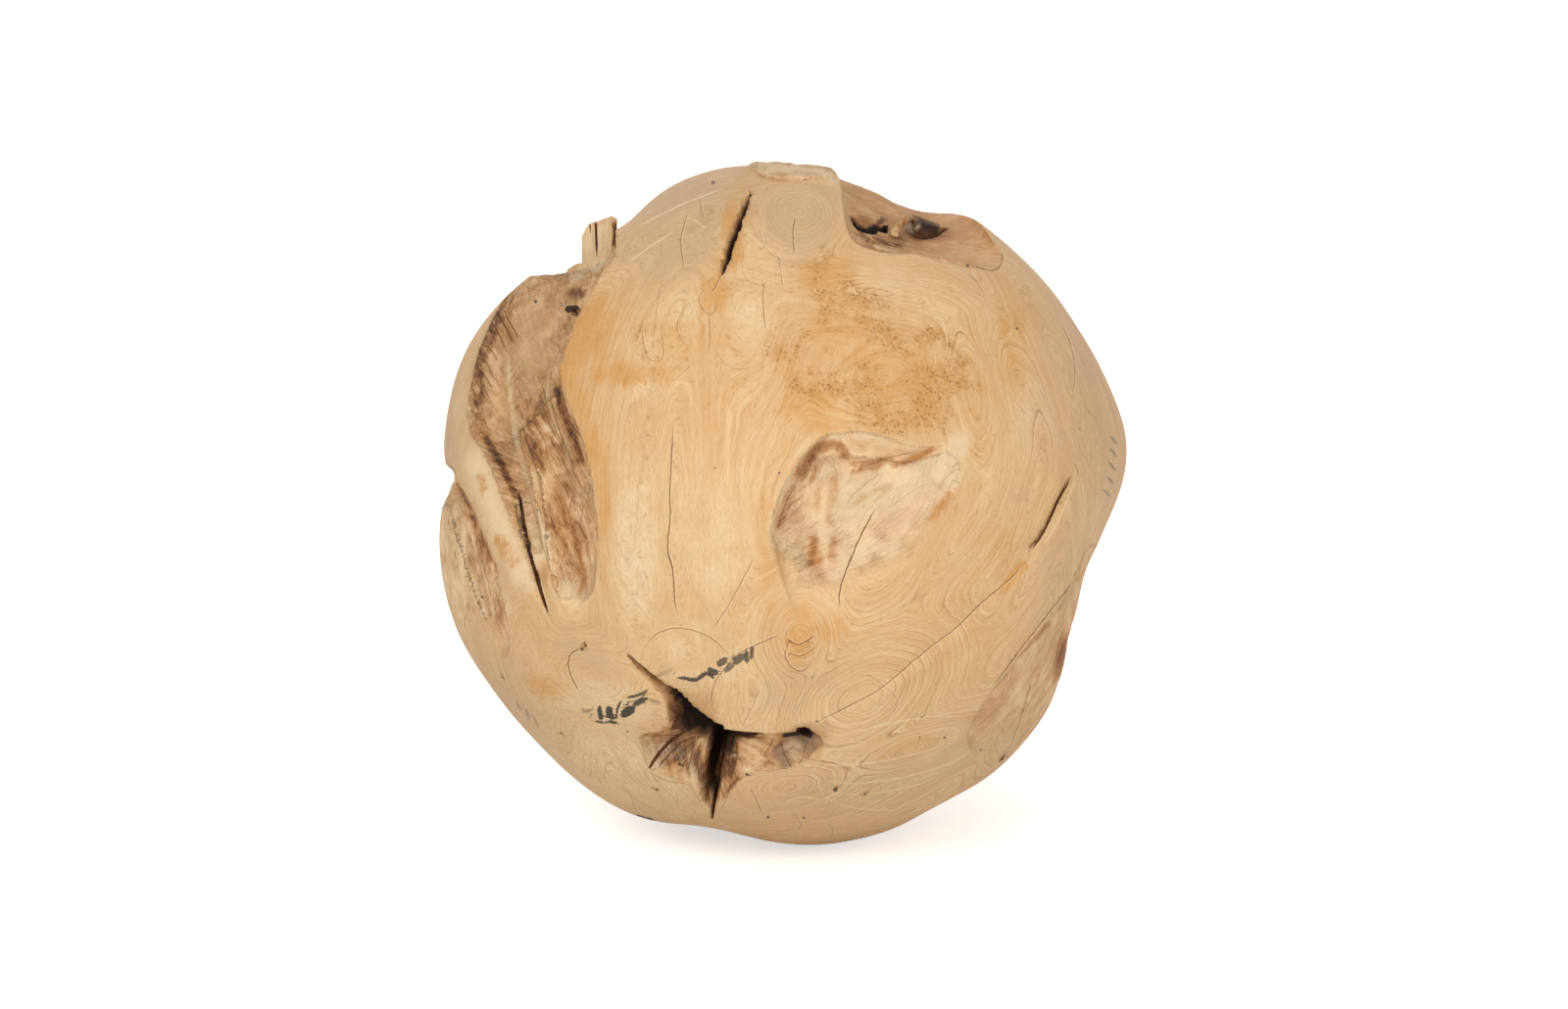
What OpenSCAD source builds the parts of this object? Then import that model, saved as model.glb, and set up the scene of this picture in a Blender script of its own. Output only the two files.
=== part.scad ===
// Root ball: one teak root sanded to a ball, with its natural hollows, folds and cracks left in.
// +Z is up and the ball's face looks towards -Y. The origin is the middle of the flat it rests on.
// Places on the face are as seen from straight in front, from the ball's middle, in hundredths of
// its radius. Depths, widths and thicknesses are in mm.

/* [Ball] */
// Diameter of the sanded ball
ball_d = 350; // [200:10:600]
// Degrees the face leans back from upright
face_lean = 15; // [5:1:20]
// Diameter of the flat the ball rests on
ground_flat_d = 80; // [50:5:90]
// Share of the root's own swells and dips that the sanding left
swell_share = 1; // [0.5:0.1:1.2]

/* [Hollows] */
// Depth of the long hollow on the left
long_hollow_depth = 18; // [12:1:22]
// Depth of the bay under the left edge of the middle rib
bay_depth = 14; // [10:1:18]
// Depth of the valley under the smooth finger
valley_depth = 7; // [4:1:10]
// Depth of the hollow right of the middle
heart_hollow_depth = 15; // [8:1:20]
// Depth of the recess at the crown
crown_recess_depth = 19; // [12:1:24]
// Depth of the rough flank low on the right
flank_depth = 11; // [6:1:14]
// Depth of the torn apron below the split mouth
apron_depth = 11; // [6:1:15]
// Depth of the split mouth and its fissure
mouth_depth = 60; // [30:5:80]

/* [Cracks] */
// Greatest width of the crack near the crown
crown_crack_w = 3.8; // [1.6:0.2:5]
// Greatest width of the crack at the right
right_crack_w = 3.2; // [1.6:0.2:5]
// Greatest width of the crack beside the finger
finger_crack_w = 3.4; // [1.6:0.2:5]
// Depth of the open cracks
crack_depth = 28; // [15:1:40]
// Diameter of the borer holes
borer_hole_d = 2; // [1.2:0.2:3]

/* [Stub and knot] */
// Height of the broken root stub above the floor of the long hollow
stub_h = 34; // [20:1:50]
// Width of the stub at its foot
stub_w = 27; // [18:1:34]
// Thickness of the stub, front to back
stub_t = 13; // [8:1:16]
// Thickness of the curled knot in the crown recess
knot_t = 6; // [4:0.5:8]
// How far the torn ledge stands proud at the top
ledge_rise = 1.6; // [0.8:0.2:3]

/* [Hidden] */

ball_r = ball_d / 2;
skin_cells = 18;   // cells along each side of the ball's six faces
front_pull = 12;   // degrees the cells are drawn towards the face
lip = 1.2;         // how far a cutter's edge stands above the skin
clear = 14;        // how far a cutter reaches out of the ball
flute_skew = 0.12; // how far a flute shifts along a hollow while it crosses it
look_ahead = 0.02; // share of a crack's length over which its heading is taken
crack_ramp = 6;    // how steeply a crack's bottom drops from its ends

heart_ledge_depth = 7;
crown_pocket_depth = 34;
crown_pocket_w = 7;
root_sink = 5;     // how far the ledge and the stub are rooted in the ball
stub_front = -9;   // front face of the stub, from the middle of its foot
stub_split_w = 1.8;
stub_split_share = 0.7; // how far a split runs into the stub's thickness
square_hole = [6, 3.4, 16];
borer_hole_depth = 12;

wood = [0.80, 0.64, 0.44];

// ---- Skin of the ball ----

// Swells and dips: angle round the face from the right, degrees off its middle, and height and
// spread in hundredths of the ball's radius
swells = [
    [155, 90, 2.9, 25],
    [121, 82, -5.1, 16],
    [124, 98, -8, 19.5],
    [176, 80, -3.1, 8],
    [176.5, 95, -4.9, 10],
    [198, 88, 2.3, 23],
    [240, 88, 1.1, 16],
    [258, 84, -2.3, 15],
    [261, 98, -5.1, 18],
    [298, 90, -1.7, 12.5],
    [318, 88, -1.4, 20.5],
    [350, 80, -8.3, 23],
    [346, 102, -8, 27.5],
    [10, 90, 2.3, 20.5],
    [86, 92, -2, 17],
    [262, 58, 2.3, 20.5],
    [215, 62, 1.7, 19.5],
    [238, 56, -1.7, 9],
    [140, 25, 1.7, 34],
    [280, 35, -2.3, 13.5],
    [320, 50, 1.4, 25.5],
    [15, 60, -1.1, 17],
    [60, 45, 0.9, 25.5],
    [40, 150, -2.3, 40],
    [160, 140, -2.9, 34],
    [250, 135, -1.7, 31.5],
    [330, 140, 1.7, 34]
];

function mix(a, b, t) = a + (b - a) * t;
function unit(v) = v / norm(v);
function sum(v, i = 0) = i < len(v) ? v[i] + sum(v, i + 1) : 0;
function column(list, i) = [for (row = list) row[i]];
function flat(list) = [for (row = list) for (item = row) item];
function reversed(list) = [for (i = [len(list) - 1:-1:0]) list[i]];

// Direction from the ball's middle at an angle round the face and degrees off its middle
function round_face(turn, off) = [sin(off) * cos(turn), -cos(off), sin(off) * sin(turn)];

// Radius of the skin in a direction
function skin(d) = ball_r + ball_r / 100 * swell_share * sum([
    for (s = swells)
        s[2] * exp(-pow(norm(d - round_face(s[0], s[1])) * 100 / s[3], 2))
]);

// Direction of a point at x, z in mm that lies some depth below the skin
function towards(x, z, below, r = ball_r, tries = 4) =
    let (d = unit([x, -sqrt(max(r * r - x * x - z * z, 0)), z]))
    tries == 0 ? d : towards(x, z, below, skin(d) - below, tries - 1);

// Direction of a place on the face, on the skin or on a floor below it
function at(x, z, below = 0) = towards(x * ball_r / 100, z * ball_r / 100, below);
function in_recess(x, z, share) = at(x, z, share * crown_recess_depth);
function in_apron(x, z, share) = at(x, z, share * apron_depth);
function in_long(x, z, share) = at(x, z, share * long_hollow_depth);

// Direction past the limb of the face, at an angle round it
function past(turn, beyond) = round_face(turn, 90 + beyond);

// Smooth run through a list of numbers or vectors, with u from 0 to 1
function run(p, u) =
    let (
        n = len(p) - 1,
        i = min(floor(u * n), n - 1),
        t = u * n - i,
        a = p[max(i - 1, 0)],
        b = p[i],
        c = p[i + 1],
        d = p[min(i + 2, n)]
    )
    (2 * b + (c - a) * t + (2 * a - 5 * b + 4 * c - d) * t * t
        + (3 * b - a - 3 * c + d) * t * t * t) / 2;

// Two triangles filling a four-sided face, split along its shorter diagonal
function halves(p, a, b, c, d) =
    norm(p[a] - p[c]) < norm(p[b] - p[d]) ? [[a, b, c], [a, c, d]] : [[a, b, d], [b, c, d]];

// Closed solid between an inner and an outer grid of points, whichever way the rows run
module shell(inner, outer) {
    m = floor(len(inner) / 2);
    across = inner[m][len(inner[0]) - 1] - inner[m][0];
    onward = inner[m + 1][0] - inner[m][0];
    forward = cross(across, onward) * inner[m][0] > 0;
    grids = forward ? [inner, outer] : [reversed(inner), reversed(outer)];
    rows = len(inner) - 1;
    cols = len(inner[0]) - 1;
    points = concat(flat(grids[0]), flat(grids[1]));
    low = function(i, j) i * (cols + 1) + j;
    top = function(i, j) (rows + 1) * (cols + 1) + low(i, j);
    cells = [for (i = [0:rows - 1]) for (j = [0:cols - 1]) [i, j]];
    faces = concat(
        flat([for (c = cells) halves(points, low(c[0], c[1]), low(c[0], c[1] + 1),
            low(c[0] + 1, c[1] + 1), low(c[0] + 1, c[1]))]),
        flat([for (c = cells) halves(points, top(c[0], c[1]), top(c[0] + 1, c[1]),
            top(c[0] + 1, c[1] + 1), top(c[0], c[1] + 1))]),
        flat([for (i = [0:rows - 1])
            halves(points, low(i, 0), low(i + 1, 0), top(i + 1, 0), top(i, 0))]),
        flat([for (i = [0:rows - 1])
            halves(points, low(i, cols), top(i, cols), top(i + 1, cols), low(i + 1, cols))]),
        flat([for (j = [0:cols - 1])
            halves(points, low(0, j), top(0, j), top(0, j + 1), low(0, j + 1))]),
        flat([for (j = [0:cols - 1])
            halves(points, low(rows, j), low(rows, j + 1), top(rows, j + 1), top(rows, j))])
    );
    polyhedron(points = points, faces = faces);
}

// Direction drawn towards the face, so the cells are finer where the hollows are
function pulled(d) =
    let (
        off = acos(min(1, max(-1, -d.y))),
        turn = atan2(d.z, d.x)
    )
    round_face(turn, off - front_pull * sin(off));

// The sanded ball before its hollows
module skin_ball() {
    n = skin_cells;
    step = function(i) i == 0 ? -1 : i == n ? 1 : tan(45 * (2 * i / n - 1));
    side = function(f, a, b)
        f == 0 ? [1, a, b] : f == 1 ? [-1, b, a] : f == 2 ? [b, 1, a]
        : f == 3 ? [a, -1, b] : f == 4 ? [a, b, 1] : [b, a, -1];
    points = [for (f = [0:5]) for (i = [0:n]) for (j = [0:n])
        let (d = pulled(unit(side(f, step(i), step(j))))) d * skin(d)];
    faces = [for (f = [0:5]) for (i = [0:n - 1]) for (j = [0:n - 1])
        let (k = f * (n + 1) * (n + 1) + i * (n + 1) + j)
        each halves(points, k, k + 1, k + n + 2, k + n + 1)];
    polyhedron(points = points, faces = faces);
}

// ---- Cutters ----

// Hollow between two edges drawn on the skin. Each row of the plan holds the left edge, the right
// edge, the share of the full depth and how far across the deepest line lies. The flutes are
// shallow ridges left by the torn grain, running askew across the floor. Walls near 0.6 are steep,
// walls over 1 run out softly.
module hollow(plan, full_depth, along, across, walls = [0.6, 0.6], flutes = 0, flute_h = 0.8) {
    grid = [for (i = [0:along])
        let (
            u = i / along,
            left = run(column(plan, 0), u),
            right = run(column(plan, 1), u),
            depth = full_depth * run(column(plan, 2), u),
            bed = run(column(plan, 3), u),
            lean = ln(min(bed, 1 - bed)) / ln(0.5)
        )
        [for (j = [0:across])
            let (
                v = j / across,
                t = bed < 0.5 ? pow(v, lean) : 1 - pow(1 - v, lean),
                d = unit(mix(left, right, t)),
                r = skin(d),
                share = pow(sin(180 * v), v < 0.5 ? walls[0] : walls[1]),
                flute = flute_h * sin(360 * flutes * (u + flute_skew * v)) * sin(180 * v)
            )
            [d * (r + lip + flute - (depth + lip) * share), d * (r + clear)]]];
    shell([for (row = grid) column(row, 0)], [for (row = grid) column(row, 1)]);
}

// Open crack along a line of places, each with its share of the full width, wedge-shaped across
module crack(line, full_w, depth, along = 12) {
    grid = [for (i = [0:along])
        let (
            u = i / along,
            here = unit(run(column(line, 0), u)),
            ahead = run(column(line, 0), min(u + look_ahead, 1)),
            behind = run(column(line, 0), max(u - look_ahead, 0)),
            side = unit(cross(here, ahead - behind)) * full_w * run(column(line, 1), u) / ball_d,
            bottom = depth * min(1, crack_ramp * min(u, 1 - u) + 0.1),
            r = skin(here)
        )
        [
            [unit(here - side) * (r + lip), unit(here - side) * (r + clear)],
            [here * (r - bottom), here * (r + clear)],
            [unit(here + side) * (r + lip), unit(here + side) * (r + clear)]
        ]];
    shell([for (row = grid) column(row, 0)], [for (row = grid) column(row, 1)]);
}

// ---- Plans of the hollows ----

// Long hollow down the left, from behind the limb to the foot of the finger
long_hollow = [
    [past(140, 24), past(126, 24), 0.1, 0.6],
    [past(141, 15), past(122, 17), 0.4, 0.6],
    [past(140, 6), past(120, 7), 0.6, 0.55],
    [past(138.5, 0), at(-49.1, 76), 0.75, 0.6],
    [at(-79.4, 62.3), at(-53.1, 68), 0.85, 0.72],
    [at(-85.7, 53.1), at(-57.7, 59.4), 0.9, 0.76],
    [at(-89.1, 45.1), at(-62.3, 49.7), 0.9, 0.76],
    [at(-91.4, 36), at(-65.1, 40.6), 0.9, 0.7],
    [at(-92.6, 27.4), at(-69.7, 32.6), 0.85, 0.62],
    [at(-91.4, 21.1), at(-74.9, 25.1), 0.75, 0.6],
    [at(-87.4, 15.4), at(-76.6, 18.9), 0.7, 0.6],
    [at(-84, 8), at(-74.3, 11.4), 0.7, 0.6],
    [at(-81.1, 0), at(-72.6, 3.4), 0.65, 0.6],
    [at(-77.7, -8), at(-70.9, -5.7), 0.5, 0.6],
    [at(-74.3, -14.9), at(-69.7, -13.7), 0.1, 0.5]
];

// Bay between the inner ridge and the steep left edge of the middle rib
bay = [
    [at(-73.1, 38.9), at(-65.1, 41.1), 0.2, 0.6],
    [at(-76.6, 34.3), at(-65.1, 36.6), 0.7, 0.7],
    [at(-77.7, 26.9), at(-62.3, 28), 0.9, 0.76],
    [at(-75.4, 19.4), at(-58.9, 19.4), 1, 0.78],
    [at(-72.6, 10.3), at(-56.6, 9.7), 1, 0.8],
    [at(-70.9, 1.7), at(-55.4, 0.6), 0.95, 0.8],
    [at(-69.7, -6.9), at(-54.6, -8), 0.9, 0.78],
    [at(-68.9, -14.9), at(-54.6, -17.1), 0.75, 0.68],
    [at(-67.4, -22.3), at(-55.4, -24.6), 0.5, 0.5],
    [at(-64.6, -28.6), at(-58.9, -30.3), 0.1, 0.5]
];

// Valley below the smooth finger, running over the left limb
finger_valley = [
    [past(185, 17), past(174.5, 17), 0.2, 0.8],
    [past(184, 6.5), past(173, 5.5), 1.1, 0.75],
    [at(-98.3, -1.7), at(-96, 9.1), 1.2, 0.78],
    [at(-96.6, -8), at(-91.4, 0), 1, 0.82],
    [at(-94.3, -17.1), at(-87.4, -10.3), 1, 0.82],
    [at(-91.4, -26.3), at(-84, -20.6), 0.9, 0.82],
    [at(-88, -34.3), at(-81.7, -29.7), 0.7, 0.8],
    [at(-85.1, -40), at(-80, -37.7), 0.4, 0.7],
    [at(-82.9, -44.6), at(-79.4, -43.4), 0.1, 0.5]
];

// Hollow right of the middle, steep on the left and fading out to the right
heart_hollow = [
    [at(12.6, 20.6), at(17.1, 20.6), 0.1, 0.5],
    [at(8, 16.6), at(28.6, 13.1), 0.6, 0.35],
    [at(2.3, 9.1), at(50.3, 16), 0.9, 0.2],
    [at(-1.1, 1.7), at(56, 8), 1, 0.16],
    [at(-3.4, -6.9), at(53.1, -5.7), 1, 0.15],
    [at(-2.3, -14.9), at(43.4, -14.9), 0.85, 0.2],
    [at(-0.6, -21.7), at(30.9, -21.7), 0.6, 0.3],
    [at(1.1, -27.4), at(18.3, -28), 0.35, 0.4],
    [at(2.9, -33.1), at(9.7, -33.1), 0.1, 0.5]
];

// Ledge above the heart hollow
heart_ledge = [
    [at(14.9, 20.6), at(17.1, 14.3), 0.3, 0.5],
    [at(21.7, 21.7), at(21.7, 10.9), 1, 0.7],
    [at(29.7, 20), at(30.9, 11.4), 1, 0.75],
    [at(37.7, 17.1), at(38.9, 12.6), 0.8, 0.75],
    [at(46.9, 17.1), at(46.9, 14.9), 0.2, 0.5]
];

// Recess at the crown, running over the upper right limb
crown_recess = [
    [past(83, 2), at(16.6, 93.7), 0.1, 0.5],
    [past(82, 10), at(17.1, 86.9), 0.4, 0.5],
    [past(80, 15), at(19.4, 77.7), 0.7, 0.6],
    [past(74, 18), at(27.4, 73.7), 0.9, 0.66],
    [past(69, 20), at(37.7, 72.9), 1, 0.7],
    [past(64, 18), at(47.4, 70.3), 0.85, 0.68],
    [past(60, 11), at(56, 68.6), 0.6, 0.62],
    [past(57, 3), at(62.3, 68), 0.35, 0.5],
    [at(58.3, 80), at(65.1, 70.9), 0.05, 0.5]
];

// Pockets in the crown recess, one each side of the curled knot
left_pocket = [
    [in_recess(19.4, 84.6, 0.63), 0.1],
    [in_recess(21.1, 81.1, 0.74), 0.6],
    [in_recess(24, 79.4, 0.84), 1],
    [in_recess(26.9, 80.6, 0.84), 0.9],
    [in_recess(29.1, 80.6, 0.84), 0.9],
    [in_recess(31.4, 84, 0.74), 0.1]
];
right_pocket = [
    [in_recess(37.7, 84.6, 0.74), in_recess(38.3, 80, 0.74), 0.6, 0.5],
    [in_recess(40.6, 85.1, 0.79), in_recess(40.6, 78.3, 0.79), 0.9, 0.7],
    [in_recess(44, 84.6, 0.79), in_recess(44, 78.3, 0.79), 1, 0.75],
    [in_recess(48, 81.7, 0.68), in_recess(48, 80, 0.68), 0.5, 0.6]
];

// Rough flank low on the right, its inner edge standing over it
flank = [
    [at(87.4, -13.7), past(353, 8), 0.2, 0.4],
    [at(85.4, -18.3), past(349, 15), 0.4, 0.3],
    [at(80.6, -28), past(342, 22), 0.65, 0.22],
    [at(74.3, -37.1), past(335, 24), 1.1, 0.22],
    [at(65.7, -47.4), past(329, 21), 0.85, 0.22],
    [at(58.3, -57.7), past(323, 15), 0.55, 0.25],
    [at(53.1, -67.4), past(318, 9), 0.4, 0.3],
    [at(56.6, -74.9), past(313, 4), 0.15, 0.4],
    [at(61.7, -76.6), at(66.3, -72), 0.03, 0.5]
];

// Split mouth under the front lobe, from the end of its crack to the small pocket on the right
mouth = [
    [at(-45.4, -43.4), at(-45.7, -44.3), 0.03, 0.5],
    [at(-40.6, -47.4), at(-41.4, -48.9), 0.15, 0.4],
    [at(-34.9, -52), at(-37.7, -53.1), 0.35, 0.35],
    [at(-30.3, -54.9), at(-34.3, -57.7), 0.8, 0.3],
    [at(-26.3, -59.1), at(-33.1, -65.1), 1, 0.28],
    [at(-21.7, -62.6), in_apron(-28, -68, 0.82), 1, 0.28],
    [at(-17.7, -65.1), in_apron(-21.7, -69.1, 1), 0.8, 0.3],
    [at(-13.1, -66.6), in_apron(-14.3, -69.1, 1), 0.45, 0.3],
    [at(-6.9, -66.6), in_apron(-6.9, -67.4, 0.82), 0.25, 0.3],
    [at(-1.7, -66.9), in_apron(-1.1, -67.7, 0.73), 0.25, 0.3],
    [at(2.9, -66), in_apron(2.9, -67.4, 0.73), 0.4, 0.3],
    [at(6.3, -64.9), in_apron(6.6, -68, 0.64), 0.5, 0.3],
    [at(9.1, -66.9), in_apron(9.7, -68, 0.36), 0.05, 0.4]
];

// Deep fissure running down from the mouth
fissure = [
    [at(-20, -65.1), at(-14.9, -66.9), 0.8, 0.5],
    [in_apron(-22.3, -68.6, 0.91), in_apron(-13.7, -68, 0.91), 0.85, 0.45],
    [in_apron(-23.1, -74.3, 0.91), in_apron(-15.4, -74.3, 0.91), 0.75, 0.4],
    [in_apron(-23.4, -78.9, 0.73), in_apron(-17.1, -78.9, 0.73), 0.6, 0.4],
    [in_apron(-22.6, -84, 0.55), in_apron(-18.9, -84, 0.55), 0.45, 0.45],
    [at(-21.4, -88), at(-20, -88), 0.25, 0.5],
    [at(-21.1, -91.4), at(-20.6, -91.4), 0.03, 0.5]
];

// Apron of torn grain below the mouth
apron = [
    [at(-41.7, -66.9), at(-41.7, -69.1), 0.1, 0.5],
    [at(-38.3, -66.3), at(-39.1, -76.9), 0.6, 0.5],
    [at(-32, -65.7), at(-32, -79.4), 0.8, 0.5],
    [at(-25.1, -64), at(-25.7, -82.3), 1, 0.5],
    [at(-20, -64.6), at(-21.1, -88.6), 1, 0.45],
    [at(-14.3, -65.7), at(-15.4, -82.9), 0.9, 0.4],
    [at(-8, -66.3), at(-10.3, -78.3), 0.8, 0.4],
    [at(-2.3, -66.6), at(-2.3, -76.9), 0.9, 0.5],
    [at(3.4, -65.7), at(4, -76), 1, 0.6],
    [at(7.4, -65.7), at(8, -72.6), 0.7, 0.5],
    [at(10.3, -66.9), at(10.3, -69.1), 0.1, 0.5]
];

// Cracks
crown_crack = [
    [at(-9.7, 91.4), 0.1],
    [at(-11.4, 86.9), 0.65],
    [at(-13.7, 81.1), 0.85],
    [at(-15.7, 75.4), 1],
    [at(-17.1, 70.3), 0.75],
    [at(-18.3, 66.3), 0.15]
];
right_crack = [
    [at(83.4, 8), 0.1],
    [at(80.6, 2.9), 0.7],
    [at(77.7, -2.9), 1],
    [at(74.3, -9.1), 0.7],
    [at(70.9, -13.7), 0.1]
];
finger_crack = [
    [in_long(-80, 18.3, 0.44), 0.1],
    [in_long(-77.1, 4.6, 0.56), 0.45],
    [in_long(-75.4, -5.1, 0.56), 0.6],
    [in_long(-73.7, -13.7, 0.33), 1],
    [at(-70.9, -24), 0.9],
    [at(-68, -32.6), 0.1]
];

// Borer holes in the sanded skin
borer_holes = [
    at(-58.3, -41.4),
    at(-81.7, -50.3),
    at(-64.6, -66.3),
    at(-37.4, -82.9),
    at(14.9, -82.9),
    at(23.4, -84.3),
    at(-72, 58.9)
];

// Torn ledge left standing at the top: front edge, back edge and share of the full rise
torn_ledge = [
    [at(-9.7, 97.7), past(96, 6), 0.3],
    [at(-7.7, 96), past(95, 12), 1],
    [at(-3.4, 94.7), past(93, 15), 1.1],
    [at(3.4, 94.6), past(89, 15), 1],
    [at(10.3, 94.6), past(85, 13), 0.8],
    [at(14.9, 94.3), past(82, 8), 0],
    [at(17.1, 93.7), past(80, 3), -1]
];

// Curled knot in the crown recess: places and their shares of the recess's depth
curl = [
    [34.3, 79.4, 1.1], [32, 78.3, 0.9], [33.1, 80.6, 0.74], [34.6, 82.3, 0.63], [36.3, 83.1, 0.58],
    [38, 82.9, 0.58], [38.9, 81.1, 0.63], [39.1, 78.9, 0.8], [39.1, 76.6, 1.1]
];

// Where the stub stands, and its outline from in front with its two splits, from the middle of its
// foot up, in hundredths of its width and height. A split has a place and an angle.
stub_place = round_face(132.6, 90);
stub_outline = [
    [-46, 0], [-46, 20], [-39, 31], [-24, 37], [-13, 38.5], [-10, 56], [-9, 79], [-5.5, 86],
    [3.5, 91], [20, 93.5], [31.5, 97.5], [44.5, 100], [52.5, 97], [53, 92], [46, 64], [46, 0]
];
stub_splits = [[3, 77, -4], [15, 46, -2]];

// ---- Parts of the ball ----

// Matrix turning +Z to a direction
function frame_of(d) =
    let (a = unit(cross([0, 0, 1], d)), b = cross(d, a))
    [[a.x, b.x, d.x, 0], [a.y, b.y, d.y, 0], [a.z, b.z, d.z, 0]];

module left_hollows() {
    hollow(long_hollow, long_hollow_depth, 36, 10, walls = [0.9, 0.5], flutes = 7);
    hollow(bay, bay_depth, 24, 8, walls = [0.8, 0.6], flutes = 4);
    hollow(finger_valley, valley_depth, 20, 6, walls = [1, 0.6]);
    crack(finger_crack, finger_crack_w, crack_depth, along = 16);
    d = in_long(-61.7, 56.9, 0.72);
    translate(d * (skin(d) - long_hollow_depth - square_hole.z))
    multmatrix(frame_of(d))
    translate([-square_hole.x / 2, -square_hole.y / 2, 0])
    cube([square_hole.x, square_hole.y, square_hole.z + long_hollow_depth + clear]);
}

module heart_hollows() {
    hollow(heart_hollow, heart_hollow_depth, 24, 12, walls = [0.6, 1.2]);
    hollow(heart_ledge, heart_ledge_depth, 10, 6);
}

module crown_hollows() {
    hollow(crown_recess, crown_recess_depth, 22, 12, flutes = 4);
    hollow(right_pocket, crown_pocket_depth, 8, 6);
    crack(left_pocket, crown_pocket_w, crown_pocket_depth, along = 10);
}

module mouth_hollows() {
    hollow(apron, apron_depth, 24, 8, walls = [0.5, 0.6], flutes = 5);
    hollow(mouth, mouth_depth, 32, 6, walls = [0.8, 0.8]);
    hollow(fissure, mouth_depth, 14, 6, walls = [0.9, 0.9]);
}

module borings() {
    for (d = borer_holes)
        translate(d * (skin(d) - borer_hole_depth))
        multmatrix(frame_of(d))
        cylinder(d = borer_hole_d, h = borer_hole_depth + clear, $fn = 6);
}

module ledge() {
    rows = 16;
    cols = 4;
    grid = [for (i = [0:rows]) [for (j = [0:cols])
        let (
            d = unit(mix(run(column(torn_ledge, 0), i / rows),
                run(column(torn_ledge, 1), i / rows), j / cols)),
            rise = ledge_rise * run(column(torn_ledge, 2), i / rows)
        )
        [d * (skin(d) - root_sink), d * (skin(d) + rise)]]];
    shell([for (row = grid) column(row, 0)], [for (row = grid) column(row, 1)]);
}

module stub() {
    foot = stub_place * (skin(stub_place) - long_hollow_depth - root_sink);
    wide = stub_w / 100;
    tall = (stub_h + root_sink) / 100;
    translate(foot)
    difference() {
        translate([0, stub_front + stub_t, 0])
        rotate([90, 0, 0])
        linear_extrude(stub_t)
        scale([wide, tall])
        polygon(stub_outline);
        for (s = stub_splits)
            translate([s[0] * wide, stub_front - lip, s[1] * tall])
            rotate([0, s[2], 0])
            linear_extrude(stub_h + clear)
            polygon([[-stub_split_w / 2, 0], [stub_split_w / 2, 0], [0, stub_t * stub_split_share]]);
    }
}

module curled_knot() {
    for (i = [0:len(curl) - 2])
        hull()
            for (c = [curl[i], curl[i + 1]]) {
                d = in_recess(c[0], c[1], c[2]);
                translate(d * (skin(d) - c[2] * crown_recess_depth)) sphere(d = knot_t, $fn = 6);
            }
}

module carved_ball() {
    difference() {
        union() {
            skin_ball();
            ledge();
        }
        left_hollows();
        heart_hollows();
        crown_hollows();
        mouth_hollows();
        hollow(flank, flank_depth, 22, 10, walls = [0.6, 0.9], flutes = 3);
        crack(crown_crack, crown_crack_w, crack_depth);
        crack(right_crack, right_crack_w, crack_depth);
        borings();
    }
    stub();
    curled_knot();
}

// The ball leant back and cut flat where it stands
module root_ball() {
    down = [0, sin(face_lean), -cos(face_lean)];
    rest = sqrt(pow(skin(down), 2) - pow(ground_flat_d / 2, 2));
    color(wood)
    difference() {
        translate([0, 0, rest]) rotate([-face_lean, 0, 0]) carved_ball();
        translate([-ball_r, -ball_r, -ball_d]) cube(ball_d);
    }
}

root_ball();
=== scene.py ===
import math
import bpy
import numpy as np
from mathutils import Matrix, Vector, kdtree, noise


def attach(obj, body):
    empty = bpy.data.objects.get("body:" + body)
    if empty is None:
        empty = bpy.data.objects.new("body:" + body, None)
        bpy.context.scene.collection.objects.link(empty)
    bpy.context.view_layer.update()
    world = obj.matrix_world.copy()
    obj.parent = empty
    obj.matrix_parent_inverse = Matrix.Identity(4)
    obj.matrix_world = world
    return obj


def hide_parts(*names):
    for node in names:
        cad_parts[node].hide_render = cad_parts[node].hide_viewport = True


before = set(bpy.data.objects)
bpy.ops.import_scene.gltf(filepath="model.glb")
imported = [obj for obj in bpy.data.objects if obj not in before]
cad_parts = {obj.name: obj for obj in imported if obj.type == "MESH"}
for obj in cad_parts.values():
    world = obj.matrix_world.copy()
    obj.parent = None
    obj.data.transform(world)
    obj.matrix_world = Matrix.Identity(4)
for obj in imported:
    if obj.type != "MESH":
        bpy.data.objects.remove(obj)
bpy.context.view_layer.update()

# Places on the face are as seen from straight in front, from the ball's middle, in hundredths of
# its radius. Lengths are in mm until the finished mesh is written in metres.

ball = {
    "radius": 175.0, "lean": 15.0, "flat": 80.0,  # it leans back, on a flat this wide
    "cells": 86, "pull": 22.0,  # the skin's cells, drawn towards the face
    "lip": 1.2, "clear": 14.0,  # how far above the skin a cutter starts, and how far out it ends
    "root": 5.0,  # how deep the pieces set on the ball reach into it
    "waves": (34.0, 0.5),  # length and height of the unevenness that sanding leaves
    "sharp": 62.0,  # edges steeper than this stay sharp, in degrees
}
radius, lean = ball["radius"], math.radians(ball["lean"])

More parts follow.
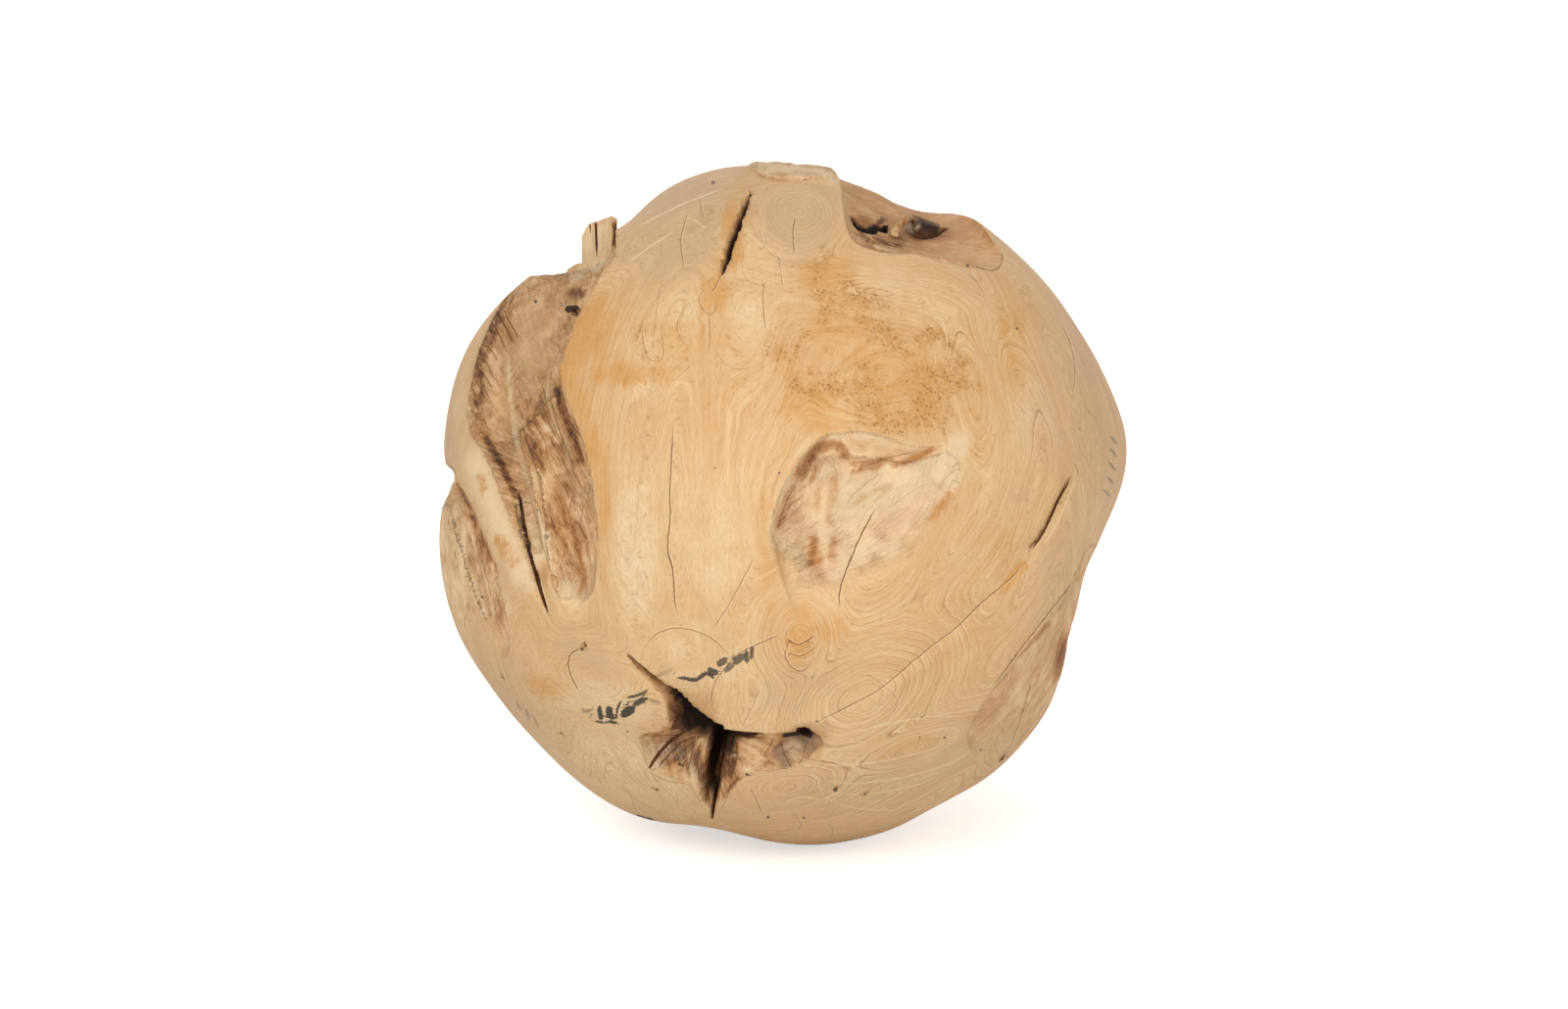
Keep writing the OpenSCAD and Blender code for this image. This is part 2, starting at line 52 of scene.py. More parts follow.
# turn round the face and degrees off its middle, height and spread in hundredths of the radius
swells = np.array([
    [155, 90, 2.9, 25], [121, 82, -5.1, 16], [124, 98, -8, 19.5], [176, 80, -3.1, 8],
    [176.5, 95, -4.9, 10], [198, 88, 2.3, 23], [240, 88, 1.1, 16], [258, 84, -2.3, 15],
    [261, 98, -5.1, 18], [298, 90, -1.7, 12.5], [318, 88, -1.4, 20.5], [350, 80, -8.3, 23],
    [346, 102, -8, 27.5], [10, 90, 2.3, 20.5], [86, 92, -2, 17], [262, 58, 2.3, 20.5],
    [215, 62, 1.7, 19.5], [238, 56, -1.7, 9], [140, 25, 1.7, 34], [280, 35, -2.3, 13.5],
    [320, 50, 1.4, 25.5], [15, 60, -1.1, 17], [60, 45, 0.9, 25.5], [40, 150, -2.3, 40],
    [160, 140, -2.9, 34], [250, 135, -1.7, 31.5], [330, 140, 1.7, 34],
])


def unit(v):
    v = np.asarray(v, dtype=float)
    return v / np.linalg.norm(v, axis=-1, keepdims=True)


def roundFace(turn, off):
    turn, off = np.radians(turn), np.radians(off)
    return np.stack([np.sin(off) * np.cos(turn), -np.cos(off), np.sin(off) * np.sin(turn)], -1)


swellDirections = roundFace(swells[:, 0], swells[:, 1])


def skin(d):  # radius of the sanded skin in a direction
    total = np.zeros(d.shape[:-1])
    for direction, (_, _, height, spread) in zip(swellDirections, swells):
        total += height * np.exp(-(np.linalg.norm(d - direction, axis=-1) * 100 / spread) ** 2)
    return radius * (1 + total / 100)


def at(x, z, below=0.0):  # direction of a place on the face, on the skin or below it
    x, z, r = x * radius / 100, z * radius / 100, radius
    for _ in range(5):
        d = unit([x, -math.sqrt(max(r * r - x * x - z * z, 0)), z])
        r = skin(d) - below
    return d


def past(turn, beyond):  # direction beyond the limb of the face
    return roundFace(turn, 90 + beyond)


def run(rows, u):  # smooth run through rows of numbers, with u from 0 to 1
    rows, u = np.asarray(rows, dtype=float), np.atleast_1d(u)
    last = len(rows) - 1
    i = np.minimum((u * last).astype(int), last - 1)
    t = (u * last - i)[:, None]
    before, start = rows[np.maximum(i - 1, 0)], rows[i]
    end, after = rows[i + 1], rows[np.minimum(i + 2, last)]
    return (2 * start + (end - before) * t + (2 * before - 5 * start + 4 * end - after) * t ** 2
            + (3 * start - before - 3 * end + after) * t ** 3) / 2


def toWorld(p):  # the face leans back, and the flat lies at zero
    y = p[:, 1] * math.cos(lean) + p[:, 2] * math.sin(lean)
    z = -p[:, 1] * math.sin(lean) + p[:, 2] * math.cos(lean)
    return np.stack([p[:, 0], y, z + restHeight], -1)


down = roundFace(-90, 90 - ball["lean"])
restHeight = math.sqrt(float(skin(down)) ** 2 - (ball["flat"] / 2) ** 2)

# each patch of the surface belongs to a zone, which the cuts carry as its material index
zones = ["skin", "longHollow", "bay", "valley", "heart", "heartLedge", "crown", "pocket", "flank",
         "apron", "mouth", "fissure", "crack", "hole", "ledge", "stub", "knot"]
placeholders = [bpy.data.materials.new("zone" + name) for name in zones]
# floor points of each zone's cutters, with their places across and along the grain
grainPoints = {name: [] for name in zones}


def signedVolume(points, faces):
    total = 0.0
    for f in faces:
        apex = points[f[0]]
        for i in range(1, len(f) - 1):
            total += np.dot(apex, np.cross(points[f[i]], points[f[i + 1]]))
    return total


def closedMesh(name, points, faces, zone):
    points = np.asarray(points, dtype=float)
    if signedVolume(points, faces) < 0:
        faces = [tuple(reversed(f)) for f in faces]
    mesh = bpy.data.meshes.new(name)
    mesh.from_pydata(points.tolist(), [], faces)
    for material in placeholders:
        mesh.materials.append(material)
    mesh.polygons.foreach_set("material_index", np.full(len(faces), zones.index(zone)))
    piece = bpy.data.objects.new(name, mesh)
    bpy.context.scene.collection.objects.link(piece)
    return piece


def shell(name, inner, outer, zone):  # closed solid between two grids of points
    rows, cols = inner.shape[:2]
    index = np.arange(rows * cols).reshape(rows, cols)
    top = index + rows * cols
    faces = []
    for grid, flip in ((index, False), (top, True)):
        quads = np.stack([grid[:-1, :-1], grid[:-1, 1:], grid[1:, 1:], grid[1:, :-1]], -1)
        faces += [tuple(q[::-1]) if flip else tuple(q) for q in quads.reshape(-1, 4).tolist()]
    sides = [(index[:, 0], top[:, 0]), (index[-1], top[-1]),
             (index[::-1, -1], top[::-1, -1]), (index[0, ::-1], top[0, ::-1])]
    for low, high in sides:
        faces += [(int(low[i]), int(low[i + 1]), int(high[i + 1]), int(high[i]))
                  for i in range(len(low) - 1)]
    points = np.concatenate([inner.reshape(-1, 3), outer.reshape(-1, 3)])
    return closedMesh(name, points, faces, zone)


def tube(name, rings, zone):  # closed solid through rings of points
    rows, cols = rings.shape[:2]
    faces = [tuple(range(cols))[::-1], tuple(range((rows - 1) * cols, rows * cols))]
    for i in range(rows - 1):
        for j in range(cols):
            k = (j + 1) % cols
            faces.append((i * cols + j, i * cols + k, (i + 1) * cols + k, (i + 1) * cols + j))
    return closedMesh(name, rings.reshape(-1, 3), faces, zone)


def tornRelief(across, along, layers, seed):  # height of the torn grain at places across and along it
    total = np.zeros(across.shape)
    for height, acrossPeriod, alongPeriod, sharp in layers:
        u, v = (across / acrossPeriod).ravel(), (along / alongPeriod).ravel()
        values = np.array([noise.noise(Vector((p, q, seed))) for p, q in zip(u, v)])
        values = values.reshape(across.shape)
        total += height * (1 - 4 * np.abs(values) if sharp else 2 * values)
    return total


def hollow(spec):  # cutter for a torn hollow between its left and right edges
    edges, amounts = np.array([row[:2] for row in spec["plan"]]), [row[2:] for row in spec["plan"]]
    fine = np.linspace(0, 1, 60)
    left, right = run(edges[:, 0], fine), run(edges[:, 1], fine)
    length = np.linalg.norm(np.diff(unit(left + right) * radius, axis=0), axis=1).sum()
    widest = np.linalg.norm(right - left, axis=1).max() * radius
    rows, cols = max(6, round(length / spec["cell"])), max(5, round(widest / spec["cell"]))
    u, v = np.linspace(0, 1, rows + 1), np.linspace(0, 1, cols + 1)
    left, right = run(edges[:, 0], u), run(edges[:, 1], u)
    deep, bed = run(amounts, u).T
    power = (np.log(np.minimum(bed, 1 - bed)) / math.log(0.5))[:, None]  # moves the bed off the middle
    t = np.where(bed[:, None] < 0.5, v[None] ** power, 1 - (1 - v[None]) ** power)
    d = unit(left[:, None] + (right - left)[:, None] * t[..., None])
    share = np.sin(np.pi * v) ** np.where(v < 0.5, *spec["walls"])
    share[0] = share[-1] = 0
    width = np.linalg.norm(right - left, axis=1) * radius
    across, along = (t - 0.5) * width[:, None], (u * length)[:, None]
    across, along = across + spec["skew"] * along, along - spec["skew"] * across
    rough = tornRelief(across, along, spec["relief"], zones.index(spec["zone"]) * 7.3)
    rough *= np.sin(np.pi * v)[None] ** 0.4  # calmer towards the rim
    r = skin(d)
    drop = (spec["depth"] * deep + ball["lip"])[:, None] * share[None]
    floor = d * (r + ball["lip"] + rough - drop)[..., None]
    roof = d * (r + ball["clear"])[..., None]
    grainPoints[spec["zone"]] += zip(floor.reshape(-1, 3), across.ravel(), along.ravel())
    return shell(spec["zone"], floor, roof, spec["zone"])


def crack(spec):  # cutter for a crack along a line, each place with its share of the width
    places, shares = [row[0] for row in spec["line"]], [[row[1]] for row in spec["line"]]
    u = np.linspace(0, 1, spec["steps"] + 1)
    middle = unit(run(places, u))
    heading = run(places, np.minimum(u + 0.02, 1)) - run(places, np.maximum(u - 0.02, 0))
    jag = np.array([noise.noise(Vector((t * 14, spec["width"], 2.0))) for t in u])
    wander = np.array([noise.noise(Vector((t * 7, spec["width"], 9.0))) for t in u])
    half = spec["width"] / 2 * run(shares, u)[:, 0] * (1 + 0.3 * jag)
    sideways = unit(np.cross(middle, heading))
    middle = unit(middle + sideways * (wander * spec["wander"] / radius)[:, None])
    r = skin(middle)
    bottom = spec["depth"] * np.minimum(1, 6 * np.minimum(u, 1 - u) + 0.1)
    steps, drop = np.array([-1, -0.55, 0, 0.55, 1]), np.array([0, 0.55, 1, 0.55, 0])
    d = unit(middle[:, None] + sideways[:, None] * (half[:, None] * steps / radius)[..., None])
    inner = d * (r[:, None] + ball["lip"] * (drop[None] == 0) - bottom[:, None] * drop)[..., None]
    outer = d * (r + ball["clear"])[:, None, None]
    return shell("crack", inner, outer, "crack")


def frameOf(d):  # rightward and upward directions across a direction
    right = unit(np.cross([0, 0, 1], d))
    return right, np.cross(d, right)


def borer(d, spec):  # cutter for a beetle's hole
    right, up = frameOf(d)
    turns = np.arange(spec["sides"]) * 2 * np.pi / spec["sides"]
    ring = (np.cos(turns)[:, None] * right + np.sin(turns)[:, None] * up) * spec["width"] / 2
    ends = (skin(d) - spec["depth"], skin(d) + spec["above"])
    return tube("borer", np.stack([d * end + ring for end in ends]), "hole")


# depths of the hollows
longDepth, bayDepth, valleyDepth, heartDepth = 18, 14, 7, 15
crownDepth, flankDepth, apronDepth, mouthDepth, crackDepth = 19, 11, 11, 60, 28


def inApron(x, z, share):
    return at(x, z, share * apronDepth)


def inLong(x, z, share):
    return at(x, z, share * longDepth)


def inRecess(x, z, share):
    return at(x, z, share * crownDepth)


# a plan's rows: left edge, right edge, share of the depth, and how far across the bed lies
# relief layers: height, period across the grain, period along it, and whether it is sharp-ridged
# walls: powers of the profile left and right, where a smaller one is steeper; skew turns the grain
longHollow = {
    "zone": "longHollow", "depth": longDepth, "walls": (0.9, 0.5),
    "cell": 1.3, "skew": -0.8,
    "relief": [(0.7, 9, 30, False), (0.45, 3.6, 16, True), (0.25, 1.9, 7, False)],
    "plan": [
        [past(140, 24), past(126, 24), 0.1, 0.6],
        [past(141, 15), past(122, 17), 0.4, 0.6],
        [past(140, 6), past(120, 7), 0.6, 0.55],
        [past(138.5, 0), at(-49.1, 76), 0.75, 0.6],
        [at(-79.4, 62.3), at(-53.1, 68), 0.85, 0.72],
        [at(-85.7, 53.1), at(-57.7, 59.4), 0.9, 0.76],
        [at(-89.1, 45.1), at(-62.3, 49.7), 0.9, 0.76],
        [at(-91.4, 36), at(-65.1, 40.6), 0.9, 0.7],
        [at(-92.6, 27.4), at(-69.7, 32.6), 0.85, 0.62],
        [at(-91.4, 21.1), at(-74.9, 25.1), 0.75, 0.6],
        [at(-87.4, 15.4), at(-76.6, 18.9), 0.7, 0.6],
        [at(-84, 8), at(-74.3, 11.4), 0.7, 0.6],
        [at(-81.1, 0), at(-72.6, 3.4), 0.65, 0.6],
        [at(-77.7, -8), at(-70.9, -5.7), 0.5, 0.6],
        [at(-74.3, -14.9), at(-69.7, -13.7), 0.1, 0.5],
    ],
}
bay = {
    "zone": "bay", "depth": bayDepth, "walls": (0.8, 0.6),
    "cell": 1.2, "skew": -0.3,
    "relief": [(0.8, 6, 34, False), (0.45, 2.6, 14, True), (0.2, 1.6, 6, False)],
    "plan": [
        [at(-73.1, 38.9), at(-65.1, 41.1), 0.2, 0.6],
        [at(-76.6, 34.3), at(-65.1, 36.6), 0.7, 0.7],
        [at(-77.7, 26.9), at(-62.3, 28), 0.9, 0.76],
        [at(-75.4, 19.4), at(-58.9, 19.4), 1, 0.78],
        [at(-72.6, 10.3), at(-56.6, 9.7), 1, 0.8],
        [at(-70.9, 1.7), at(-55.4, 0.6), 0.95, 0.8],
        [at(-69.7, -6.9), at(-54.6, -8), 0.9, 0.78],
        [at(-68.9, -14.9), at(-54.6, -17.1), 0.75, 0.68],
        [at(-67.4, -22.3), at(-55.4, -24.6), 0.5, 0.5],
        [at(-64.6, -28.6), at(-58.9, -30.3), 0.1, 0.5],
    ],
}
valley = {
    "zone": "valley", "depth": valleyDepth, "walls": (1, 0.6),
    "cell": 1.6, "skew": 0.05,
    "relief": [(0.4, 5, 30, False), (0.2, 2.2, 14, True)],
    "plan": [
        [past(185, 17), past(174.5, 17), 0.2, 0.8],
        [past(184, 6.5), past(173, 5.5), 0.5, 0.75],
        [at(-98.3, -1.7), at(-96, 9.1), 0.8, 0.78],
        [at(-96.6, -8), at(-91.4, 0), 1, 0.82],
        [at(-94.3, -17.1), at(-87.4, -10.3), 1, 0.82],
        [at(-91.4, -26.3), at(-84, -20.6), 0.9, 0.82],
        [at(-88, -34.3), at(-81.7, -29.7), 0.7, 0.8],
        [at(-85.1, -40), at(-80, -37.7), 0.4, 0.7],
        [at(-82.9, -44.6), at(-79.4, -43.4), 0.1, 0.5],
    ],
}
heart = {
    "zone": "heart", "depth": heartDepth, "walls": (0.6, 1.2),
    "cell": 1.4, "skew": 0.9,
    "relief": [(0.5, 9, 40, False), (0.2, 3, 18, True)],
    "plan": [
        [at(12.6, 20.6), at(17.1, 20.6), 0.1, 0.5],
        [at(8, 16.6), at(28.6, 13.1), 0.6, 0.35],
        [at(2.3, 9.1), at(50.3, 16), 0.9, 0.2],
        [at(-1.1, 1.7), at(56, 8), 1, 0.16],
        [at(-3.4, -6.9), at(53.1, -5.7), 1, 0.15],
        [at(-2.3, -14.9), at(43.4, -14.9), 0.85, 0.2],
        [at(-0.6, -21.7), at(30.9, -21.7), 0.6, 0.3],
        [at(1.1, -27.4), at(18.3, -28), 0.35, 0.4],
        [at(2.9, -33.1), at(9.7, -33.1), 0.1, 0.5],
    ],
}
heartLedge = {
    "zone": "heartLedge", "depth": 7, "walls": (0.6, 0.6),
    "cell": 1.2, "skew": 0.0,
    "relief": [(0.3, 5, 24, False)],
    "plan": [
        [at(14.9, 20.6), at(17.1, 14.3), 0.3, 0.5],
        [at(21.7, 21.7), at(21.7, 10.9), 1, 0.7],
        [at(29.7, 20), at(30.9, 11.4), 1, 0.75],
        [at(37.7, 17.1), at(38.9, 12.6), 0.8, 0.75],
        [at(46.9, 17.1), at(46.9, 14.9), 0.2, 0.5],
    ],
}
crown = {
    "zone": "crown", "depth": crownDepth, "walls": (0.6, 0.6),
    "cell": 1.4, "skew": 0.3,
    "relief": [(0.7, 8, 30, False), (0.3, 3, 14, True)],
    "plan": [
        [past(83, 2), at(16.6, 93.7), 0.1, 0.5],
        [past(82, 10), at(17.1, 86.9), 0.4, 0.5],
        [past(80, 15), at(19.4, 77.7), 0.7, 0.6],
        [past(74, 18), at(27.4, 73.7), 0.9, 0.66],
        [past(69, 20), at(37.7, 72.9), 1, 0.7],
        [past(64, 18), at(47.4, 70.3), 0.85, 0.68],
        [past(60, 11), at(56, 68.6), 0.6, 0.62],
        [past(57, 3), at(62.3, 68), 0.35, 0.5],
        [at(58.3, 80), at(65.1, 70.9), 0.05, 0.5],
    ],
}
rightPocket = {
    "zone": "pocket", "depth": 34, "walls": (0.6, 0.6),
    "cell": 1.2, "skew": 0.0,
    "relief": [(0.4, 4, 12, False)],
    "plan": [
        [inRecess(37.7, 84.6, 0.74), inRecess(38.3, 80, 0.74), 0.6, 0.5],
        [inRecess(40.6, 85.1, 0.79), inRecess(40.6, 78.3, 0.79), 0.9, 0.7],
        [inRecess(44, 84.6, 0.79), inRecess(44, 78.3, 0.79), 1, 0.75],
        [inRecess(48, 81.7, 0.68), inRecess(48, 80, 0.68), 0.5, 0.6],
    ],
}
flank = {
    "zone": "flank", "depth": flankDepth, "walls": (0.6, 0.9),
    "cell": 1.7, "skew": 0.15,
    "relief": [(0.6, 10, 50, False), (0.25, 3.5, 26, True)],
    "plan": [
        [at(87.4, -13.7), past(353, 8), 0.2, 0.4],
        [at(85.4, -18.3), past(349, 15), 0.4, 0.3],
        [at(80.6, -28), past(342, 22), 0.65, 0.22],
        [at(74.3, -37.1), past(335, 24), 1.1, 0.22],
        [at(65.7, -47.4), past(329, 21), 0.85, 0.22],
        [at(58.3, -57.7), past(323, 15), 0.55, 0.25],
        [at(53.1, -67.4), past(318, 9), 0.4, 0.3],
        [at(56.6, -74.9), past(313, 4), 0.15, 0.4],
        [at(61.7, -76.6), at(66.3, -72), 0.03, 0.5],
    ],
}
apron = {
    "zone": "apron", "depth": apronDepth, "walls": (0.5, 0.6),
    "cell": 1.2, "skew": 0.0,
    "relief": [(0.8, 9, 7, False), (0.5, 30, 3.2, True), (0.3, 12, 1.8, False)],
    "plan": [
        [at(-41.7, -66.9), at(-41.7, -69.1), 0.1, 0.5],
        [at(-38.3, -66.3), at(-39.1, -76.9), 0.6, 0.5],
        [at(-32, -65.7), at(-32, -79.4), 0.8, 0.5],
        [at(-25.1, -64), at(-25.7, -82.3), 1, 0.5],
        [at(-20, -64.6), at(-21.1, -88.6), 1, 0.45],
        [at(-14.3, -65.7), at(-15.4, -82.9), 0.9, 0.4],
        [at(-8, -66.3), at(-10.3, -78.3), 0.8, 0.4],
        [at(-2.3, -66.6), at(-2.3, -76.9), 0.9, 0.5],
        [at(3.4, -65.7), at(4, -76), 1, 0.6],
        [at(7.4, -65.7), at(8, -72.6), 0.7, 0.5],
        [at(10.3, -66.9), at(10.3, -69.1), 0.1, 0.5],
    ],
}
mouth = {
    "zone": "mouth", "depth": mouthDepth, "walls": (0.8, 0.8),
    "cell": 1.3, "skew": 0.0,
    "relief": [(0.5, 6, 6, False)],
    "plan": [
        [at(-45.4, -43.4), at(-45.7, -44.3), 0.03, 0.5],
        [at(-40.6, -47.4), at(-41.4, -48.9), 0.15, 0.4],
        [at(-34.9, -52), at(-37.7, -53.1), 0.35, 0.35],
        [at(-30.3, -54.9), at(-34.3, -57.7), 0.8, 0.3],
        [at(-26.3, -59.1), at(-33.1, -65.1), 1, 0.28],
        [at(-21.7, -62.6), inApron(-28, -68, 0.82), 1, 0.28],
        [at(-17.7, -65.1), inApron(-21.7, -69.1, 1), 0.8, 0.3],
        [at(-13.1, -66.6), inApron(-14.3, -69.1, 1), 0.45, 0.3],
        [at(-6.9, -66.6), inApron(-6.9, -67.4, 0.82), 0.25, 0.3],
        [at(-1.7, -66.9), inApron(-1.1, -67.7, 0.73), 0.25, 0.3],
        [at(2.9, -66), inApron(2.9, -67.4, 0.73), 0.4, 0.3],
        [at(6.3, -64.9), inApron(6.6, -68, 0.64), 0.5, 0.3],
        [at(9.1, -66.9), inApron(9.7, -68, 0.36), 0.05, 0.4],
    ],
}
fissure = {
    "zone": "fissure", "depth": mouthDepth, "walls": (0.9, 0.9),
    "cell": 1.3, "skew": 0.0,
    "relief": [(0.5, 5, 9, False)],
    "plan": [
        [at(-20, -65.1), at(-14.9, -66.9), 0.8, 0.5],
        [inApron(-22.3, -68.6, 0.91), inApron(-13.7, -68, 0.91), 0.85, 0.45],
        [inApron(-23.1, -74.3, 0.91), inApron(-15.4, -74.3, 0.91), 0.75, 0.4],
        [inApron(-23.4, -78.9, 0.73), inApron(-17.1, -78.9, 0.73), 0.6, 0.4],
        [inApron(-22.6, -84, 0.55), inApron(-18.9, -84, 0.55), 0.45, 0.45],
        [at(-21.4, -88), at(-20, -88), 0.25, 0.5],
        [at(-21.1, -91.4), at(-20.6, -91.4), 0.03, 0.5],
    ],
}
leftPocket = {
    "width": 7, "depth": 34, "wander": 2.0, "steps": 30,
    "line": [
        [inRecess(19.4, 84.6, 0.63), 0.1], [inRecess(21.1, 81.1, 0.74), 0.6],
        [inRecess(24, 79.4, 0.84), 1], [inRecess(26.9, 80.6, 0.84), 0.9],
        [inRecess(29.1, 80.6, 0.84), 0.9], [inRecess(31.4, 84, 0.74), 0.1],
    ],
}
crownCrack = {
    "width": 3.6, "depth": crackDepth, "wander": 0.8, "steps": 90,
    "line": [
        [at(-9.7, 91.4), 0.1], [at(-11.4, 86.9), 0.65], [at(-13.7, 81.1), 0.85],
        [at(-15.7, 75.4), 1], [at(-17.1, 70.3), 0.75], [at(-18.3, 66.3), 0.15],
    ],
}
rightCrack = {
    "width": 2.3, "depth": crackDepth, "wander": 0.4, "steps": 80,
    "line": [
        [at(83.4, 8), 0.1], [at(80.6, 2.9), 0.7], [at(77.7, -2.9), 1], [at(74.3, -9.1), 0.7],
        [at(70.9, -13.7), 0.1],
    ],
}
fingerCrack = {
    "width": 2.3, "depth": crackDepth, "wander": 0.5, "steps": 110,
    "line": [
        [inLong(-77.1, 4.3, 0.38), 0.1],
        [inLong(-75.4, -5.1, 0.3), 0.7], [inLong(-73.4, -13.7, 0.12), 1],
        [at(-70.9, -24), 0.9], [at(-68, -32.6), 0.1],
    ],
}
borerHoles = {
    "width": 2.0, "depth": 12, "above": 3, "sides": 10,
    "places": [(-58.3, -41.4), (-81.7, -50.3), (-64.6, -66.3), (-37.4, -82.9), (14.9, -82.9),
               (23.4, -84.3), (-72, 58.9)],
}
squareHole = {"place": inLong(-61.7, 56.9, 0.72), "width": 6, "height": 3.4, "depth": 16}
tornLedge = {
    "rise": 1.6, "rows": 60, "cols": 12,
    "plan": [
        [at(-9.7, 97.7), past(96, 6), 0.3],
        [at(-7.7, 96), past(95, 12), 1],
        [at(-3.4, 94.7), past(93, 15), 1.1],
        [at(3.4, 94.6), past(89, 15), 1],
        [at(10.3, 94.6), past(85, 13), 0.8],
        [at(14.9, 94.3), past(82, 8), 0],
        [at(17.1, 93.7), past(80, 3), -1],
    ],
}
knot = {
    "thickness": 3.8, "sides": 12, "steps": 40,
    "line": [
        [34.3, 79.4, 1.1], [32, 78.3, 0.9], [33.1, 80.6, 0.74], [34.6, 82.3, 0.63],
        [36.3, 83.1, 0.58], [38, 82.9, 0.58], [38.9, 81.1, 0.63], [39.1, 78.9, 0.8],
        [39.1, 76.6, 1.1],
    ],
}
# the stub's outline from in front, in hundredths of its width and height above its foot: a low lump
# at the left and the tall stub that stands on it
stub = {
    "place": past(132.6, 0), "width": 27, "height": 34, "thickness": 13, "front": -9,
    "rows": 30, "cols": 56, "caps": 7,  # rings up the sides, points in each, and rings over the top
    "lump": {"left": -46, "right": 46,
             "tops": [[-46, 22], [-39, 31], [-24, 37], [-8, 38.5], [46, 42]]},
    "tall": {"left": -13, "right": 53,
             "tops": [[-13, 74], [-9, 79], [-5.5, 86], [3.5, 91], [20, 93.5], [31.5, 97.5],
                      [44.5, 100], [53, 95]]},
    "splits": [[3, 77, -4], [15, 46, -2]], "splitWidth": 1.8,
}


def skinBall():  # a cube's grid pressed onto the skin, with smaller cells on the face
    n = ball["cells"]
    step = np.tan(np.pi / 4 * (2 * np.arange(n + 1) / n - 1))
    i, j = np.meshgrid(step, step, indexing="ij")
    one = np.ones_like(i)
    sides = [(one, i, j), (-one, j, i), (j, one, i), (i, -one, j), (i, j, one), (j, i, -one)]
    d = unit(np.concatenate([np.stack(side, -1).reshape(-1, 3) for side in sides]))
    off = np.degrees(np.arccos(np.clip(-d[:, 1], -1, 1)))
    turn = np.degrees(np.arctan2(d[:, 2], d[:, 0]))
    d = roundFace(turn, off - ball["pull"] * np.sin(np.radians(off)))
    cell = (np.arange(n)[:, None] * (n + 1) + np.arange(n)[None]).ravel()
    corners = np.stack([cell, cell + 1, cell + n + 2, cell + n + 1], -1)
    quads = np.concatenate([side * (n + 1) ** 2 + corners for side in range(6)])
    _, first, same = np.unique(np.round(d, 6), axis=0, return_index=True, return_inverse=True)
    d = d[first]
    faces = [tuple(f) for f in same.ravel()[quads].tolist()]
    return closedMesh("wood", d * skin(d)[:, None], faces, "skin")


def ledgeSolid(spec):  # the torn ledge on the crown, in rows of a front edge, a back edge and a height
    u, v = np.linspace(0, 1, spec["rows"] + 1), np.linspace(0, 1, spec["cols"] + 1)
    front, back = [run([row[k] for row in spec["plan"]], u) for k in (0, 1)]
    jag = np.array([noise.noise(Vector((i * 0.31, 4.0, 0.0))) for i in range(len(u))])
    front = front + (back - front) * (0.06 * jag)[:, None]
    d = unit(front[:, None] + (back - front)[:, None] * v[None, :, None])
    rise = spec["rise"] * run([[row[2]] for row in spec["plan"]], u)
    rough = tornRelief(np.repeat(v[None] * 9, len(u), 0), np.repeat(u[:, None] * 60, len(v), 1),
                       [(0.5, 2.4, 5, True), (0.3, 1.2, 11, False)], 3.0)
    low = d * (skin(d) - ball["root"])[..., None]
    high = d * (skin(d) + rise + rough)[..., None]
    return shell("ledge", low, high, "ledge")


def knotSolid(spec):  # the strand that curls out of the recess and back into it
    u = np.linspace(0, 1, spec["steps"] + 1)
    spots = run([inRecess(*row) * (skin(inRecess(*row)) - row[2] * crownDepth)
                 for row in spec["line"]], u)
    heading = unit(np.gradient(spots, axis=0))
    side = unit(np.cross(heading, spots))
    over = np.cross(side, heading)
    turns = np.arange(spec["sides"]) * 2 * np.pi / spec["sides"]
    thick = np.array([1 + 0.35 * noise.noise(Vector((i * 0.17, 1.0, 5.0))) for i in range(len(u))])
    ring = np.cos(turns)[None, :, None] * side[:, None] + np.sin(turns)[None, :, None] * over[:, None]
    rings = spots[:, None] + ring * (spec["thickness"] / 2 * thick)[:, None, None]
    return tube("knot", rings, "knot")


def stubFrame(spec):  # the stub's foot, and mm in a hundredth of its width and of its height
    foot = spec["place"] * (skin(spec["place"]) - longDepth - ball["root"])
    return foot, spec["width"] / 100, (spec["height"] + ball["root"]) / 100


def column(name, spec, part):  # part of the stub: a rounded box under a ragged top
    foot, wide, tall = stubFrame(spec)
    tops = np.array(part["tops"], dtype=float)
    rows, cols, caps = spec["rows"], spec["cols"], spec["caps"]
    middle, half = (part["left"] + part["right"]) / 2, (part["right"] - part["left"]) / 2
    turns = np.arange(cols) * 2 * np.pi / cols
    boxX, boxY = [np.sign(c) * np.abs(c) ** 0.55 for c in (np.cos(turns), np.sin(turns))]
    grain = np.array([noise.noise(Vector((x * 4.0, y * 2.2, 1.0))) for x, y in zip(boxX, boxY)])
    rings = np.empty((rows + caps - 1, cols, 3))
    for i in range(len(rings)):
        rise, inset = (i / (rows - 1), 1.0) if i < rows else (1.0, 1 - (i - rows + 1) / caps)
        for j in range(cols):
            rough = 1 + 0.07 * grain[j] + 0.03 * noise.noise(Vector((j * 0.9, rise * 4, 3.0)))
            x = middle + half * boxX[j] * inset * rough
            top = np.interp(x, tops[:, 0], tops[:, 1])
            y = spec["front"] + spec["thickness"] / 2 * (1 + boxY[j] * inset * rough)
            jag = 1.6 * noise.noise(Vector((x * 0.14, y * 0.5, 7.0))) * rise ** 6
            rings[i, j] = foot + [x * wide, y, (top * rise + jag) * tall]
    return tube(name, rings, "stub")


